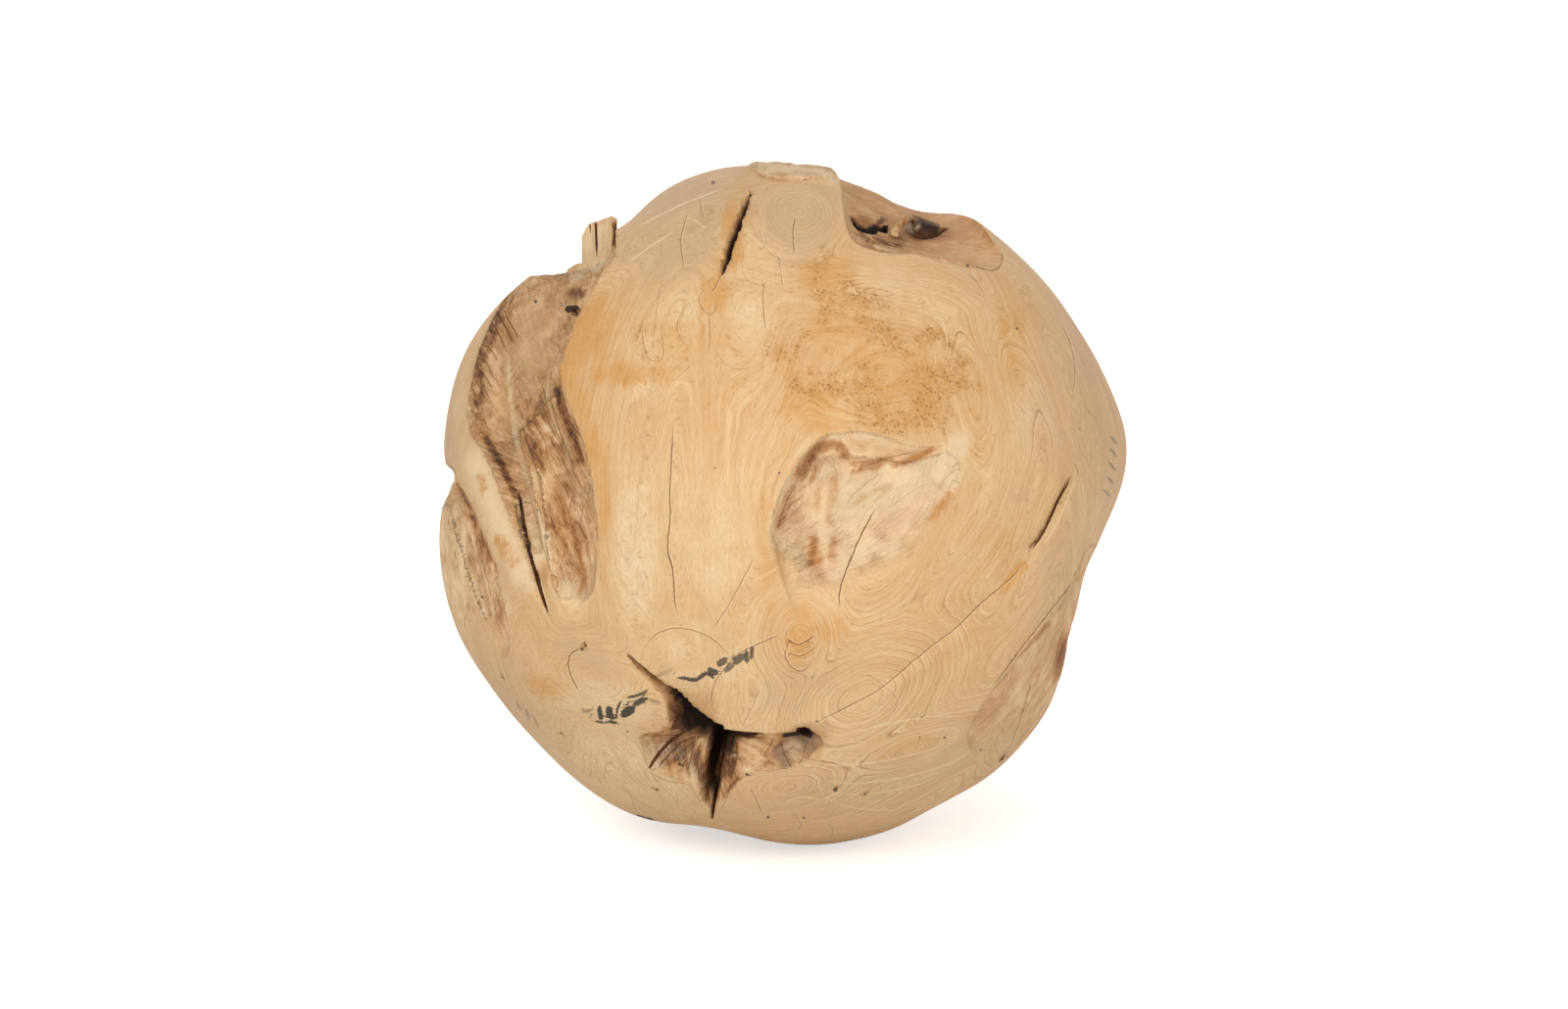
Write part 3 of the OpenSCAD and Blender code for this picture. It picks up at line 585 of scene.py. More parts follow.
def wedge(name, spec, split):  # cutter for a split down the stub's front: its place and its tilt
    foot, wide, tall = stubFrame(spec)
    x, z, turn = split[0] * wide, split[1] * tall, math.radians(split[2])
    half, deep = spec["splitWidth"] / 2, spec["thickness"] * 0.7
    section = [(-half, -2.0), (half, -2.0), (0.15, deep)]
    points = []
    for high, pinch in ((0, 0.15), (6, 0.8), (spec["height"], 1.0)):
        for sideways, inward in section:
            points.append(foot + [x + sideways * pinch + high * math.sin(turn),
                                  spec["front"] + inward, z + high * math.cos(turn)])
    faces = [(2, 1, 0), (6, 7, 8)]
    for k in (0, 3):
        faces += [(k, k + 1, k + 4, k + 3), (k + 1, k + 2, k + 5, k + 4), (k + 2, k, k + 3, k + 5)]
    return closedMesh(name, points, faces, "stub")


def boxSolid(name, corners, zone):
    faces = [(0, 1, 3, 2), (4, 6, 7, 5), (0, 4, 5, 1), (2, 3, 7, 6), (0, 2, 6, 4), (1, 5, 7, 3)]
    return closedMesh(name, corners, faces, zone)


def squareCut(spec):  # cutter for the square hole in the floor of the long hollow
    d, (right, up) = spec["place"], frameOf(spec["place"])
    ends = (d * (skin(d) - longDepth - spec["depth"]), d * (skin(d) + ball["clear"]))
    return boxSolid("square", [
        end + right * i * spec["width"] / 2 + up * j * spec["height"] / 2
        for end in ends for i in (-1, 1) for j in (-1, 1)], "hole")


def combine(target, others, operation):
    for other in others:
        modifier = target.modifiers.new(other.name, "BOOLEAN")
        modifier.object = other
        modifier.operation = operation
        modifier.solver = "MANIFOLD"
        modifier.material_mode = "INDEX"
    shape = bpy.data.meshes.new_from_object(target.evaluated_get(bpy.context.evaluated_depsgraph_get()))
    target.modifiers.clear()
    old = target.data
    target.data = shape
    bpy.data.meshes.remove(old)
    for other in others:
        bpy.data.objects.remove(other)


wood = skinBall()
combine(wood, [ledgeSolid(tornLedge)], "UNION")
cutters = [hollow(spec) for spec in (longHollow, bay, valley, heart, heartLedge, crown, rightPocket,
                                     flank, apron, mouth, fissure)]
cutters += [crack(spec) for spec in (fingerCrack, leftPocket, crownCrack, rightCrack)]
cutters += [borer(at(*place), borerHoles) for place in borerHoles["places"]]
cutters.append(squareCut(squareHole))
combine(wood, cutters, "DIFFERENCE")
tallStub = column("stubTall", stub, stub["tall"])
combine(tallStub, [wedge("split", stub, split) for split in stub["splits"]], "DIFFERENCE")
combine(wood, [column("stubLump", stub, stub["lump"]), tallStub, knotSolid(knot)], "UNION")
backward = np.array([0, math.cos(lean), math.sin(lean)])
upward = np.array([0, -math.sin(lean), math.cos(lean)])
ground = [np.array([i * radius, 0, 0]) + backward * j * radius - upward * (restHeight + k)
          for i in (-1, 1) for j in (-1, 1) for k in (radius, 0)]
combine(wood, [boxSolid("ground", ground, "skin")], "DIFFERENCE")
print("solid done:", len(wood.data.vertices), "vertices")


def readAll(source, key, kind, width=1):
    values = np.empty(len(source) * width, dtype=kind)
    source.foreach_get(key, values)
    return values.reshape(-1, width) if width > 1 else values


# the cut edges are worn round, and then the face is sculpted
mesh = wood.data
points = readAll(mesh.vertices, "co", float, 3)
edges = readAll(mesh.edges, "vertices", int, 2)
loopVertex = readAll(mesh.loops, "vertex_index", int)
faceZone, faceLoops = [readAll(mesh.polygons, key, int) for key in ("material_index", "loop_total")]
count = len(points)
member = np.zeros((count, len(zones)))
np.add.at(member, (loopVertex, np.repeat(faceZone, faceLoops)), 1)
zoneShare = member / member.sum(1, keepdims=True)


def zoneSum(*names):  # how far each point belongs to any of these zones
    return zoneShare[:, [zones.index(name) for name in names]].sum(1)


def neighbourMean(values):
    total = np.zeros_like(values)
    degree = np.bincount(edges.ravel(), minlength=count)
    for k in range(values.shape[1]):
        total[:, k] = (np.bincount(edges[:, 0], values[edges[:, 1], k], count)
                       + np.bincount(edges[:, 1], values[edges[:, 0], k], count))
    return total / degree[:, None]


def treeOf(places):
    tree = kdtree.KDTree(len(places))
    for i, p in enumerate(places):
        tree.insert(p, i)
    tree.balance()
    return tree


def spotField(spots):  # soft spots: x, z, half length, half width, angle, strength
    field = np.zeros(count)
    for x, z, long, short, angle, strength in spots:
        turn = math.radians(angle)
        right, up = points[:, 0] * 100 / radius - x, points[:, 2] * 100 / radius - z
        lengthways = (right * math.cos(turn) + up * math.sin(turn)) / long
        sideways = (up * math.cos(turn) - right * math.sin(turn)) / short
        field = np.maximum(field, strength * np.exp(-(lengthways ** 2 + sideways ** 2) ** 1.3))
    return field * np.clip(0.5 - points[:, 1] / 40, 0, 1)  # on the face only


# how far each zone's edge is worn round
softness = {
    "longHollow": 1.8, "bay": 1.8, "valley": 3.5, "heart": 5.0, "heartLedge": 2.5, "crown": 1.8,
    "pocket": 1.2, "flank": 2.0, "apron": 1.0, "mouth": 1.2, "fissure": 1.0, "crack": 0.35,
    "hole": 0.5, "ledge": 1.0, "stub": 0.9, "knot": 1.2,
}
# places where edges are worn rounder than that
wornSpots = [
    (45.7, -7.1, 22, 9, 35, 11), (22.9, -27.1, 16, 8, 15, 11), (52.9, 14.3, 10, 8, 60, 6),
    (-61.4, -28.6, 8, 6, 0, 5), (-1.4, -18.6, 12, 7, 80, 9), (8.6, -27.7, 16, 8, 10, 11),
    (-85.7, -35.7, 9, 5, 110, 6), (60, -71.4, 14, 8, 30, 7), (-97.4, 10.6, 5, 6, 0, 8),
]
unworn, mostRounds = 99.0, 60  # softer than any edge, and the most rounds of smoothing
zoneSoftness = np.array([unworn] + [softness[name] for name in zones[1:]])
rimSoftness = np.where(member > 0, zoneSoftness[None], unworn).min(1)
rimSoftness = np.maximum(rimSoftness, spotField(wornSpots) * (zoneSum("crack") == 0))
rim = np.nonzero((member[:, 1:] > 0).sum(1) + (member[:, 0] > 0) > 1)[0]
rimTree = treeOf(points[rim])
found = [rimTree.find(p) for p in points]
rimDistance = np.array([distance for _, _, distance in found])
soft = rimSoftness[rim[np.array([index for _, index, _ in found])]]
weight = np.clip(1.15 - rimDistance / (soft * 1.3), 0, 1)
rounds = np.minimum(2 + (soft / 1.5) ** 2, mostRounds)
for i in range(mostRounds):
    active = (weight * (rounds > i))[:, None]
    points += 0.5 * active * (neighbourMean(points) - points)
torn = 1 - zoneShare[:, 0]
direction = unit(points)
depth = np.clip(skin(direction) - np.linalg.norm(points, axis=1), 0, 60)


def fromPath(places, reach, step=1.2):
    # points near a smooth path through places on the face, their signed distance from it, and the
    # share of its length from there to its nearer end
    length = np.linalg.norm(np.diff(np.array(places, dtype=float), axis=0), axis=1).sum()
    path = run(places, np.linspace(0, 1, max(3, round(length / step) + 1))) * radius / 100
    low, high = path.min(0) - reach, path.max(0) + reach
    place = points[:, [0, 2]]
    near = np.nonzero(((place > low) & (place < high)).all(1) & (points[:, 1] < 25))[0]
    place = place[near]
    best, signed, share = np.full(len(near), 1e9), np.zeros(len(near)), np.zeros(len(near))
    lengths = np.linalg.norm(np.diff(path, axis=0), axis=1)
    before = np.concatenate([[0], np.cumsum(lengths)])
    for k, (start, end) in enumerate(zip(path[:-1], path[1:])):
        t = np.clip(((place - start) @ (end - start)) / max(lengths[k] ** 2, 1e-9), 0, 1)
        gap = place - start - t[:, None] * (end - start)
        distance = np.linalg.norm(gap, axis=1)
        closer = distance < best
        best = np.where(closer, distance, best)
        side = np.sign((end - start)[0] * gap[:, 1] - (end - start)[1] * gap[:, 0])
        signed = np.where(closer, distance * side, signed)
        share = np.where(closer, (before[k] + t * lengths[k]) / before[-1], share)
    return near, signed, np.minimum(share, 1 - share)


# paths that more than one kind of mark follows
hollowLip = [
    (-80.9, 46.6), (-79.7, 33.7), (-78.9, 25.7), (-77.4, 17.7), (-75.1, 9.4), (-72.6, 2),
    (-70.3, -5.7), (-68, -13.4), (-66.3, -20.9),
]
bayLip = [(-67.7, 40), (-68.6, 32.3), (-66.9, 25.7), (-64.6, 20), (-62.3, 14.3), (-59.4, 5.7)]
valleyBed = [(-96, -1.4), (-93.1, -12.9), (-89.7, -24.3), (-85.7, -35.7)]
bayBed = [(-66.6, 36.3), (-64.9, 30), (-62.6, 23.7), (-60.3, 17.1), (-58.3, 10)]
# sculpted ridges and furrows on the face: height, half width and path
strokes = [
    (-2.5, 14, [(14.3, 25.7), (0, -1.4), (0, -24.3)]),
    (1.2, 7, [(-6.3, 10), (-7.1, -12.9), (-2.9, -30)]),
    (-1.6, 6, [(-54.3, -24.3), (-57.1, -35.7), (-45.7, -43.7)]), (1.3, 1.7, hollowLip),
    (-1.3, 3.2, [(-83.4, 40), (-82, 27.1), (-80, 17.1), (-76.9, 6.6), (-72.9, -4.3)]),
    (1.0, 1.4, bayLip), (-1.2, 1.8, [(-66.3, 34.3), (-64.9, 28.6), (-62.6, 22.3), (-60.3, 15.7)]),
    (2.4, 7.0, [(-91.4, 18.6), (-89.1, 10), (-86.3, 2), (-82.6, -7.1), (-78.3, -16.9),
                (-72.9, -27.1)]),
    (-1.4, 2.0, [(-96, 8.3), (-91.7, -0.6), (-86.3, -13.1), (-82.3, -21.4)]),
    (1.4, 2.5, [(10.9, 21.1), (6.3, 17.1), (2.3, 11.7), (-0.9, 5.1), (-3.4, -1.4), (-4.6, -8.6),
                (-3.7, -15.1)]),
    (-1.6, 3.0, [(2.3, -1.4), (4.6, 6.6), (8, 12.9), (12, 16.9), (15.7, 16.9), (18.3, 11.1)]),
    (1.8, 5.0, [(17.7, 19.4), (23.4, 18.6), (30, 18)]),
    (-1.4, 2.2, [(20, 10), (25.7, 11.4), (32, 13.7), (38.6, 13.4), (44.9, 16)]),
    (1.5, 5.0, [(28.6, 4.3), (38.6, 10), (50, 17.1)]),
    (-1.0, 3.0, [(13.7, -7.1), (12.9, -14.3), (12.3, -20)]),
    (1.3, 2.6, [(85.4, 9.4), (83.4, 2.9), (81.1, -2.9), (78.3, -8.6)]),
    (1.0, 2.2, [(80, 8), (78, 2), (75.4, -3.7), (72.6, -9.4)]),
    (-0.8, 2.0, [(72.6, -12.9), (65.7, -21.4), (50, -35.7), (37.1, -45.7), (22.9, -56.3)]),
    (0.9, 2.5, [(74.3, -14.6), (67.4, -23.4), (51.7, -37.7), (38.9, -47.7), (24.6, -58.3)]),
]
swelling = np.zeros(count)
for rise, half, places in strokes:
    near, signed, ends = fromPath(places, half * 3, 4)
    fade = np.clip(ends * 8, 0, 1) ** 0.5
    swelling[near] += rise * np.exp(-(signed / half) ** 2) * np.maximum(fade, 0.35)
waveLength, waveHeight = ball["waves"]
waves = np.array([noise.noise(Vector(p / waveLength)) for p in points]) * waveHeight
points += direction * (swelling + waves * (1 - torn))[:, None]

# growth centres: x, z, angle of the long axis, long and short stretch, and a handicap in mm
frontCentres = [
    (4.3, 85.4, 88, 1.25, 0.8, 0), (4.6, -38.6, 88, 1.1, 0.85, 0), (22.9, -56.3, 42, 1.5, 1.0, -9),
    (38.6, -70.9, 8, 1.8, 0.8, 0), (1.4, -82, 4, 1.6, 1.1, -2), (-55.7, -50.6, 10, 1.2, 0.8, 0),
    (54.9, 32.9, 88, 2.4, 0.8, 4), (81.4, 38.6, 96, 3.2, 0.8, 2), (-31.4, -1.4, 90, 7.0, 1.0, 2),
    (-45.7, 12.9, 88, 8.0, 1.0, 8), (-31.4, 55.7, 85, 2.8, 1.1, 14), (-10, 52.9, 90, 2.6, 1.1, 16),
    (28.6, 37.1, 20, 1.6, 1.0, 22), (-95.1, 32.9, 88, 5.0, 1.0, 0), (-28.6, -95.7, 0, 4.0, 0.9, 10),
    (91.4, 4.3, 90, 4.0, 1.0, 6), (52.9, -7.1, 48, 4.0, 0.8, 18), (-31.4, -50, 0, 1.6, 1.0, 16),
    (28.6, 61.4, 5, 4.0, 1.0, 12), (-28.6, 82.9, 30, 2.4, 1.0, 12),
    (-74.3, -47.1, 60, 2.4, 1.0, 12), (74.9, -12.9, 52, 4.0, 0.9, 25),
]
# the same on the back: turn round the face and degrees off its middle
backCentres = [
    (15, 128, 60, 2.2, 1.0, 0), (62, 118, 20, 1.6, 1.0, 4), (105, 122, 85, 3.0, 0.9, 2),
    (150, 124, 40, 1.4, 1.0, 0), (197, 120, 95, 2.6, 0.9, 4), (240, 126, 10, 1.5, 1.0, 0),
    (285, 122, 70, 2.4, 1.0, 3), (330, 126, 30, 1.8, 1.0, 5), (40, 162, 15, 1.7, 1.0, 2),
    (170, 160, 80, 2.8, 0.9, 0), (290, 163, 50, 1.5, 1.0, 6), (350, 96, 90, 3.0, 1.0, 6),
    (205, 95, 80, 3.0, 1.0, 4), (90, 98, 10, 2.5, 1.0, 6),
]
centres = [(at(x, z), *rest) for x, z, *rest in frontCentres]
centres += [(roundFace(turn, off), *rest) for turn, off, *rest in backCentres]
blendLength, inward = 6.0, 0.3  # how softly rings of two centres meet, and their stretch inwards
closeness = np.zeros(count)
for d, angle, long, short, handicap in centres:
    wanted = np.array([math.cos(math.radians(angle)), 0, math.sin(math.radians(angle))])
    first = unit(wanted - d * np.dot(wanted, d))
    second = np.cross(d, first)
    gap = points - d * skin(d)
    distance = np.sqrt((gap @ first / long) ** 2 + (gap @ second / short) ** 2
                       + (inward * gap @ d) ** 2)
    closeness += np.exp(-(distance + handicap) / blendLength)
phase = -blendLength * np.log(closeness)


def bandField(bands):  # soft bands along paths: half width, strength, path
    field = np.zeros(count)
    for half, strength, places in bands:
        near, signed, ends = fromPath(places, half * 2.5)
        fade = np.clip(ends * 9 + 0.15, 0, 1) * np.clip((25 - points[near, 1]) / 15, 0, 1)
        field[near] = np.maximum(field[near], strength * fade * np.exp(-(np.abs(signed) / half) ** 3))
    return field


# where the rings show, where they are calm, and where burl breaks them up
ringSpots = [
    (4.3, -50, 26, 22, 0, 0.9), (37.1, -50, 44, 26, 38, 1.0), (52.9, -24.3, 24, 12, 45, 0.9),
    (65.7, -27.1, 10, 16, -30, 0.8), (48.6, 52.9, 24, 14, 0, 0.8), (28.6, 64.3, 20, 9, 0, 0.7),
    (78.6, 32.9, 14, 26, 0, 0.95), (4.3, 82.9, 16, 14, 0, 0.6), (-55.7, -52.9, 18, 14, 0, 0.6),
    (22.9, -80, 42, 14, 10, 1.0), (-28.6, -78.6, 50, 12, 0, 0.6), (-34.3, -12.9, 14, 30, 0, 0.3),
    (-68.6, -64.3, 20, 14, -40, 0.5), (68.6, 12.9, 14, 14, 40, 0.5), (-45.7, 18.6, 10, 40, 0, 0.4),
]
calmSpots = [
    (57.7, -24.3, 7, 16, 25, 0.75), (60, -46, 5, 10, -20, 0.6), (26.3, -54.3, 6, 4, 38, 0.7),
    (32, -38, 12, 6, 30, 0.6), (-28.6, 81.4, 22, 14, 20, 0.9), (-21.4, 52.9, 30, 18, 0, 0.9),
    (30, 38.6, 22, 18, 0, 0.95), (-31.4, -40, 12, 7, 0, 0.7), (-54.3, 52.9, 14, 26, 0, 0.6),
    (-20, 12.9, 20, 20, 0, 0.6),
]
burlSpots = [
    (42.3, 37.1, 10, 15, 10, 1.2), (28.6, 51.4, 16, 7, -50, 0.9), (35.7, 24.3, 12, 6, 0, 0.8),
    (17.1, 35.7, 18, 5, 5, 0.9), (13.7, 61.4, 5, 12, 10, 0.9), (24.6, 32.9, 8, 8, 0, 0.9),
    (0, 47.1, 8, 6, 0, 0.5), (-41.4, 47.1, 4, 7, 0, 0.5),
]
# colour that lies in spots and bands: warm, pale, grey, brown, pink and orange; some pale bands
# are painted highlight, and some brown spots and bands are painted shade, as marked in them
warmSpots = [
    (-59.4, 47.1, 22, 6, 62, 0.9), (-58, 24.3, 22, 5, -75, 0.7), (-52.3, 4.3, 30, 3, 90, 0.6),
    (-45.7, 37.7, 18, 4, 0, 0.9), (-20.6, 60, 4, 8, 0, 0.9), (-14.3, 81.4, 5, 20, -15, 0.5),
    (-16.3, 83.1, 2.2, 8, -12, 0.9), (-13.4, 75.1, 2.4, 9, -12, 0.85), (12.9, 67.1, 10, 6, 10, 0.9),
    (34.3, 37.1, 24, 20, 0, 0.62), (66.3, 47.1, 7, 20, 0, 0.6), (8.6, 28.6, 10, 12, 40, 0.7),
    (4.3, -40, 5, 6, 0, 1), (4.3, -31.4, 7, 4, 0, 0.7), (-69.7, -52.9, 8, 4, -20, 0.8),
    (-4.3, -12.9, 4, 28, 0, 0.5), (12.9, -35.7, 12, 5, 10, 0.6), (57.1, 24.3, 10, 16, 0, 0.4),
    (-18.6, 27.1, 14, 30, 10, 0.35), (51.4, -41.4, 8, 5, 30, 0.4), (60, -12.9, 22, 8, 45, 0.3),
    (37.1, -70, 14, 4, 10, 0.4), (-52, 50, 10, 20, -20, 0.5), (17.1, 52.9, 14, 18, 0, 0.6),
    (-28.6, 48.6, 20, 8, 0, 0.5), (-57.1, 65.7, 14, 5, 60, 0.7),
]
warmBands = [
    (2.6, 0.6, [(-8, 97.4), (0, 96.3), (8.6, 95.7)]),
    (4.5, 0.5, [(-53.7, 72.3), (-57.1, 68.3), (-60.6, 65.4)]),
    (3.0, 1.15, [(62.9, -25.4), (65.7, -22), (70.3, -16.3)]),
    (2.2, 0.7, [(-20, 61.4), (-17.7, 70), (-15.7, 78.6)]),
    (1.5, 0.7, [(-24, 54.3), (-21.7, 61.4), (-20, 65.7)]),
    (3.0, 0.5, [(18.9, 25.7), (10, 20), (1.7, 10), (-2.3, -1.4)]),
    (4.0, 0.45, [(-2.9, 52.9), (0, 38.6), (1.7, 24.3), (-0.9, 10)]),
    (1.6, 0.8, [(-57.1, 37.1), (-45.7, 37.7), (-37.7, 36.3)]),
]
paleSpots = [
    (-42.9, -12.9, 8, 24, 0, 0.7), (-40.6, 36.9, 4.5, 5, 0, 0.9), (-20, -12.9, 14, 22, 0, 0.5),
    (48, 14, 8, 4.5, 45, 0.75), (50, 16.6, 6, 4, 45, 1.0), (37.1, 2.9, 16, 6, 38, 0.15),
    (-61.4, -27.1, 6, 5, 10, 0.65), (-28.6, 52.9, 8, 10, 0, 0.5), (-10, 52.9, 8, 10, 0, 0.5),
    (28.6, 64.3, 16, 8, 0, 0.4), (-94.3, 27.1, 3, 20, 0, 0.4), (2.3, -18.6, 5, 10, 0, 0.4),
    (-9.7, -72.9, 4, 5, 20, 0.45), (2.3, -71.1, 3, 3, 30, 0.5), (-28.6, -40, 12, 8, 0, 0.5),
    (71.4, 24.3, 8, 14, 0, 0.4), (-68.6, -81.4, 30, 14, -30, 0.6), (-45.7, -78.6, 30, 14, -20, 0.5),
    (-52.9, -58.6, 20, 10, -10, 0.5), (-22.9, -50, 16, 8, 20, 0.4), (20, 1.4, 10, 8, 0, 0.6),
    (37.4, 82, 3.5, 5, 0, 0.4), (13.1, 7.4, 4, 6, 0, 0.5), (35.7, 4.3, 14, 5, 35, 0.45),
]
paleAndHighlightBands = [
    # painted highlight along the raised lips of the long hollow and the bay
    (1.9, 0.42, hollowLip), (1.1, 0.35, bayLip),
    (1.8, 0.3, [(-57.7, 12.9), (-55.7, 0), (-55.1, -12.9), (-56.3, -24.3), (-60.6, -30.6)]),
    (5.5, 0.6, [(-92, 18.6), (-88.9, 10), (-85.7, 2), (-82, -7.1), (-77.1, -18.6), (-72.3, -27.7)]),
    (4.0, 0.5, [(-76, 4.3), (-74.3, -2.6), (-72.3, -10), (-70.3, -18.6)]),
    # painted highlight along the heart hollow's raised rim
    (2.2, 0.8, [(11.4, 21.7), (6.9, 17.7), (2.9, 12.3), (-0.3, 5.4), (-2.9, -1.4), (-4, -8.6),
                (-2.9, -17.1)]),
    (3.0, 0.5, [(18.9, 19.4), (24, 18.9), (30.9, 18)]),
    (4.5, 0.55, [(30, 5.1), (40, 10), (49.7, 17.1)]),
    (2.2, 0.6, [(50.6, 18), (51.4, 12.3), (49.7, 5.4)]),
    (2.0, 0.35, [(25.7, 72.3), (37.1, 71.7), (50, 69.4)]),
    (3.5, 0.45, [(-57.1, 78.6), (-57.1, 72.3), (-60, 67.1), (-62.9, 64.9)]),
    (5.0, 0.9, [(-53.7, 82), (-53.7, 73.4), (-57.1, 68.3)]),
    # painted light on the top of the torn ledge, which faces up
    (3.6, 0.85, [(-9.1, 98), (-2.9, 97.1), (4.3, 96.3), (11.4, 95.4), (16, 94)]),
]
greySpots = [
    (-28.6, 81.4, 26, 14, 40, 0.8), (-18.6, 91.4, 14, 5, 0, 0.6), (4.3, 81.4, 14, 16, 0, 0.6),
    (-97.1, 24.3, 5, 40, 0, 0.5), (88.6, 32.9, 8, 34, 15, 0.5), (68.6, 2, 7, 4, 0, 0.4),
    (57.1, -70, 26, 10, 30, 0.5), (-74.3, -58.6, 20, 10, -30, 0.4), (-57.1, -41.4, 14, 8, -30, 0.5),
    (80, -24.3, 10, 24, -30, 0.4), (24.3, -81.4, 30, 8, 10, 0.4), (-74, 47.1, 7, 15, 0, 0.5),
    (28.6, 88.6, 14, 6, -20, 0.3), (6.6, -68.9, 7, 5, 20, 1.0), (-0.3, -73.4, 5, 4, -60, 0.9),
    (-9.1, -71.4, 4, 5, 20, 0.3), (94.3, 10, 4, 18, 0, 0.4), (-11.4, 87.1, 6, 4, 0, 0.5),
    (3.4, -54.3, 16, 8, 0, 0.5),
]
brownAndShadeSpots = [
    (-88.6, 21.4, 5, 4, 0, 0.7), (-72.9, 15.7, 10, 4, -60, 0.8), (-67.1, -1.4, 7, 12, 20, 0.58),
    (-61.4, -8.6, 6, 12, 10, 0.58), (-71.4, 27.1, 8, 7, 0, 0.7), (8.6, -16.3, 4, 5, 0, 0.5),
    # the first two spots on the next line are painted shade in the pocket on the crown
    (42, 80.9, 10, 5, -8, 1.1), (39.4, 80.3, 5, 4, 0, 1.5), (22.9, 82, 5, 3.5, -20, 0.8),
    (81.4, -44.3, 3, 9, -10, 0.9), (60.6, -57.4, 14, 6, 60, 0.4), (-28.6, -60, 12, 10, 0, 1),
    (-32, -72.3, 11, 9, 0, 0.95), (-36.6, -65.7, 6, 4, 20, 0.6), (-68.6, -21.4, 4, 6, 0, 0.6),
    (-22.9, 84.3, 5, 3, 30, 0.7), (-27.1, 80.6, 3, 2, 0, 0.6), (-0.9, 47.1, 3, 4, 0, 0.5),
    (6.6, -67.7, 9, 5, 15, 1.1), (-60.6, 61.4, 4, 2.5, 0, 0.95), (-38.6, -78.6, 6, 6, 0, 0.6),
]
brownAndShadeBands = [
    (2.8, 0.4, [(9.7, -67.7), (10.6, -71.1), (8.9, -74.6)]),
    (5.5, 0.72, [(-77.1, 61.4), (-82.3, 55.1), (-85.7, 49.4), (-88.3, 42), (-89.4, 34.3),
                 (-89.4, 25.7)]),
    (14.0, 0.22, valleyBed), (4.0, 0.7, [(-83.7, 55.7), (-80.9, 51.4), (-78.3, 46.6)]),
    (2.4, 0.85, [(-88, 21.4), (-84.9, 16.3), (-82, 11.4), (-78.9, 4.3), (-76.9, 0)]),
    (2.6, 0.95, bayBed), (1.4, 0.8, [(-75.1, 27.1), (-72.9, 18.6), (-69.7, 10)]),
    (1.2, 0.8, [(-71.1, 32.9), (-69.1, 25.7), (-65.7, 18.6)]),
    # painted shade inside the heart hollow: the arch under its rim, and on the next line the shade
    # under its ledge
    (3.0, 0.72, [(4.6, 6.6), (6, 11.1), (8.6, 14.9), (12, 17.1), (15.7, 17.1), (18.6, 12.9)]),
    (1.6, 0.6, [(18.3, 12), (22.9, 12), (28, 12.9), (30.9, 14)]),
    (1.8, 0.4, [(7.4, 4.3), (8.9, 9.4), (12, 12.9), (14.3, 10), (15.1, 2.9)]),
    (1.8, 0.35, [(10.3, -2.9), (9.7, 2.9), (11.7, 7.1), (13.4, 4.3), (13.1, -2.9), (14.9, -7.1)]),
    # painted shade in the pocket at the heart hollow's left
    (2.4, 0.42, [(-1.7, -8), (-0.3, -2.6), (2, 2.9), (4, 5.4)]),
    # painted shade under the heart hollow's ledge, on the next two lines
    (1.8, 0.55, [(18.9, 9.4), (25.7, 10.9), (32.6, 13.7)]),
    (1.8, 0.55, [(30, 11.1), (37.7, 13.4), (44, 16.6)]),
    (2.6, 0.8, [(8.9, -8.9), (8.3, -13.4), (7.7, -18.6)]),
    (2.4, 0.55, [(14.9, -9.4), (13.7, -13.4), (13.7, -17.1)]),
    (1.7, 1.25, [(19.1, 84.3), (20.9, 81.7), (23.4, 80), (26.3, 80.6), (28, 82.3), (30.3, 83.7)]),
    (1.2, 0.9, [(21.1, 79.4), (23.4, 78.3), (24.6, 76)]),
    (4.0, 0.8, [(25.1, 77.4), (30, 76.3), (35.7, 75.7)]),
    # painted shadow under the overhang of the torn ledge on the crown
    (1.2, 0.8, [(-8.3, 96.9), (-5.7, 95.1), (-2.6, 94.3), (2.9, 94)]),
    (1.5, 0.9, [(16, 93.7), (17.4, 92.9)]),
    (2.6, 0.55, [(-90.9, -1.4), (-88.6, -8.6), (-85.7, -18), (-83.4, -27.1), (-82, -35.7)]),
    (1.3, 0.95, [(-96, 8.3), (-91.7, -0.6), (-86.3, -13.1), (-82.3, -20.9)]),
    (3.0, 0.6, [(-39.1, -76.6), (-36.9, -73.1), (-33.4, -69.1), (-29.1, -66.3)]),
    (4.5, 0.5, [(-10, -70), (-7.1, -72.9), (0, -76.3)]),
    (1.2, 0.9, [(-38.9, -67.1), (-34.3, -67.1), (-29.4, -66.6)]),
    (4.2, 0.95, [(-27.4, -66.6), (-25.7, -73.4), (-23.4, -82)]),
    (4.0, 1.0, [(-14.9, -66.6), (-15.1, -72.9), (-17.1, -80.6)]),
    (2.0, 0.7, [(-12.3, -78.6), (-14.9, -81.4), (-17.7, -86.6)]),
    (1.6, 0.7, [(-41.4, -66.9), (-37.7, -66.6), (-33.7, -65.4)]),
    (4.6, 1.2, [(-2.3, -69.4), (-0.3, -72.9), (1.4, -76.6)]), (2.8, 1.1, [(6, -67.4), (7.7, -70)]),
    (1.3, 1, [(-49.7, 82.6), (-49.1, 78.6), (-50, 75.1)]),
    (1.0, 0.95, [(-54.9, 82), (-55.1, 77.1), (-54.6, 71.7)]),
    (1.4, 0.5, [(-68, 55.1), (-64.3, 54), (-60, 55.1)]),
    (2.0, 0.6, [(66.3, -44.9), (72, -40), (77.7, -33.4)]),
    (1.5, 0.7, [(82, -37.1), (81.4, -44.3), (80, -51.7)]),
]
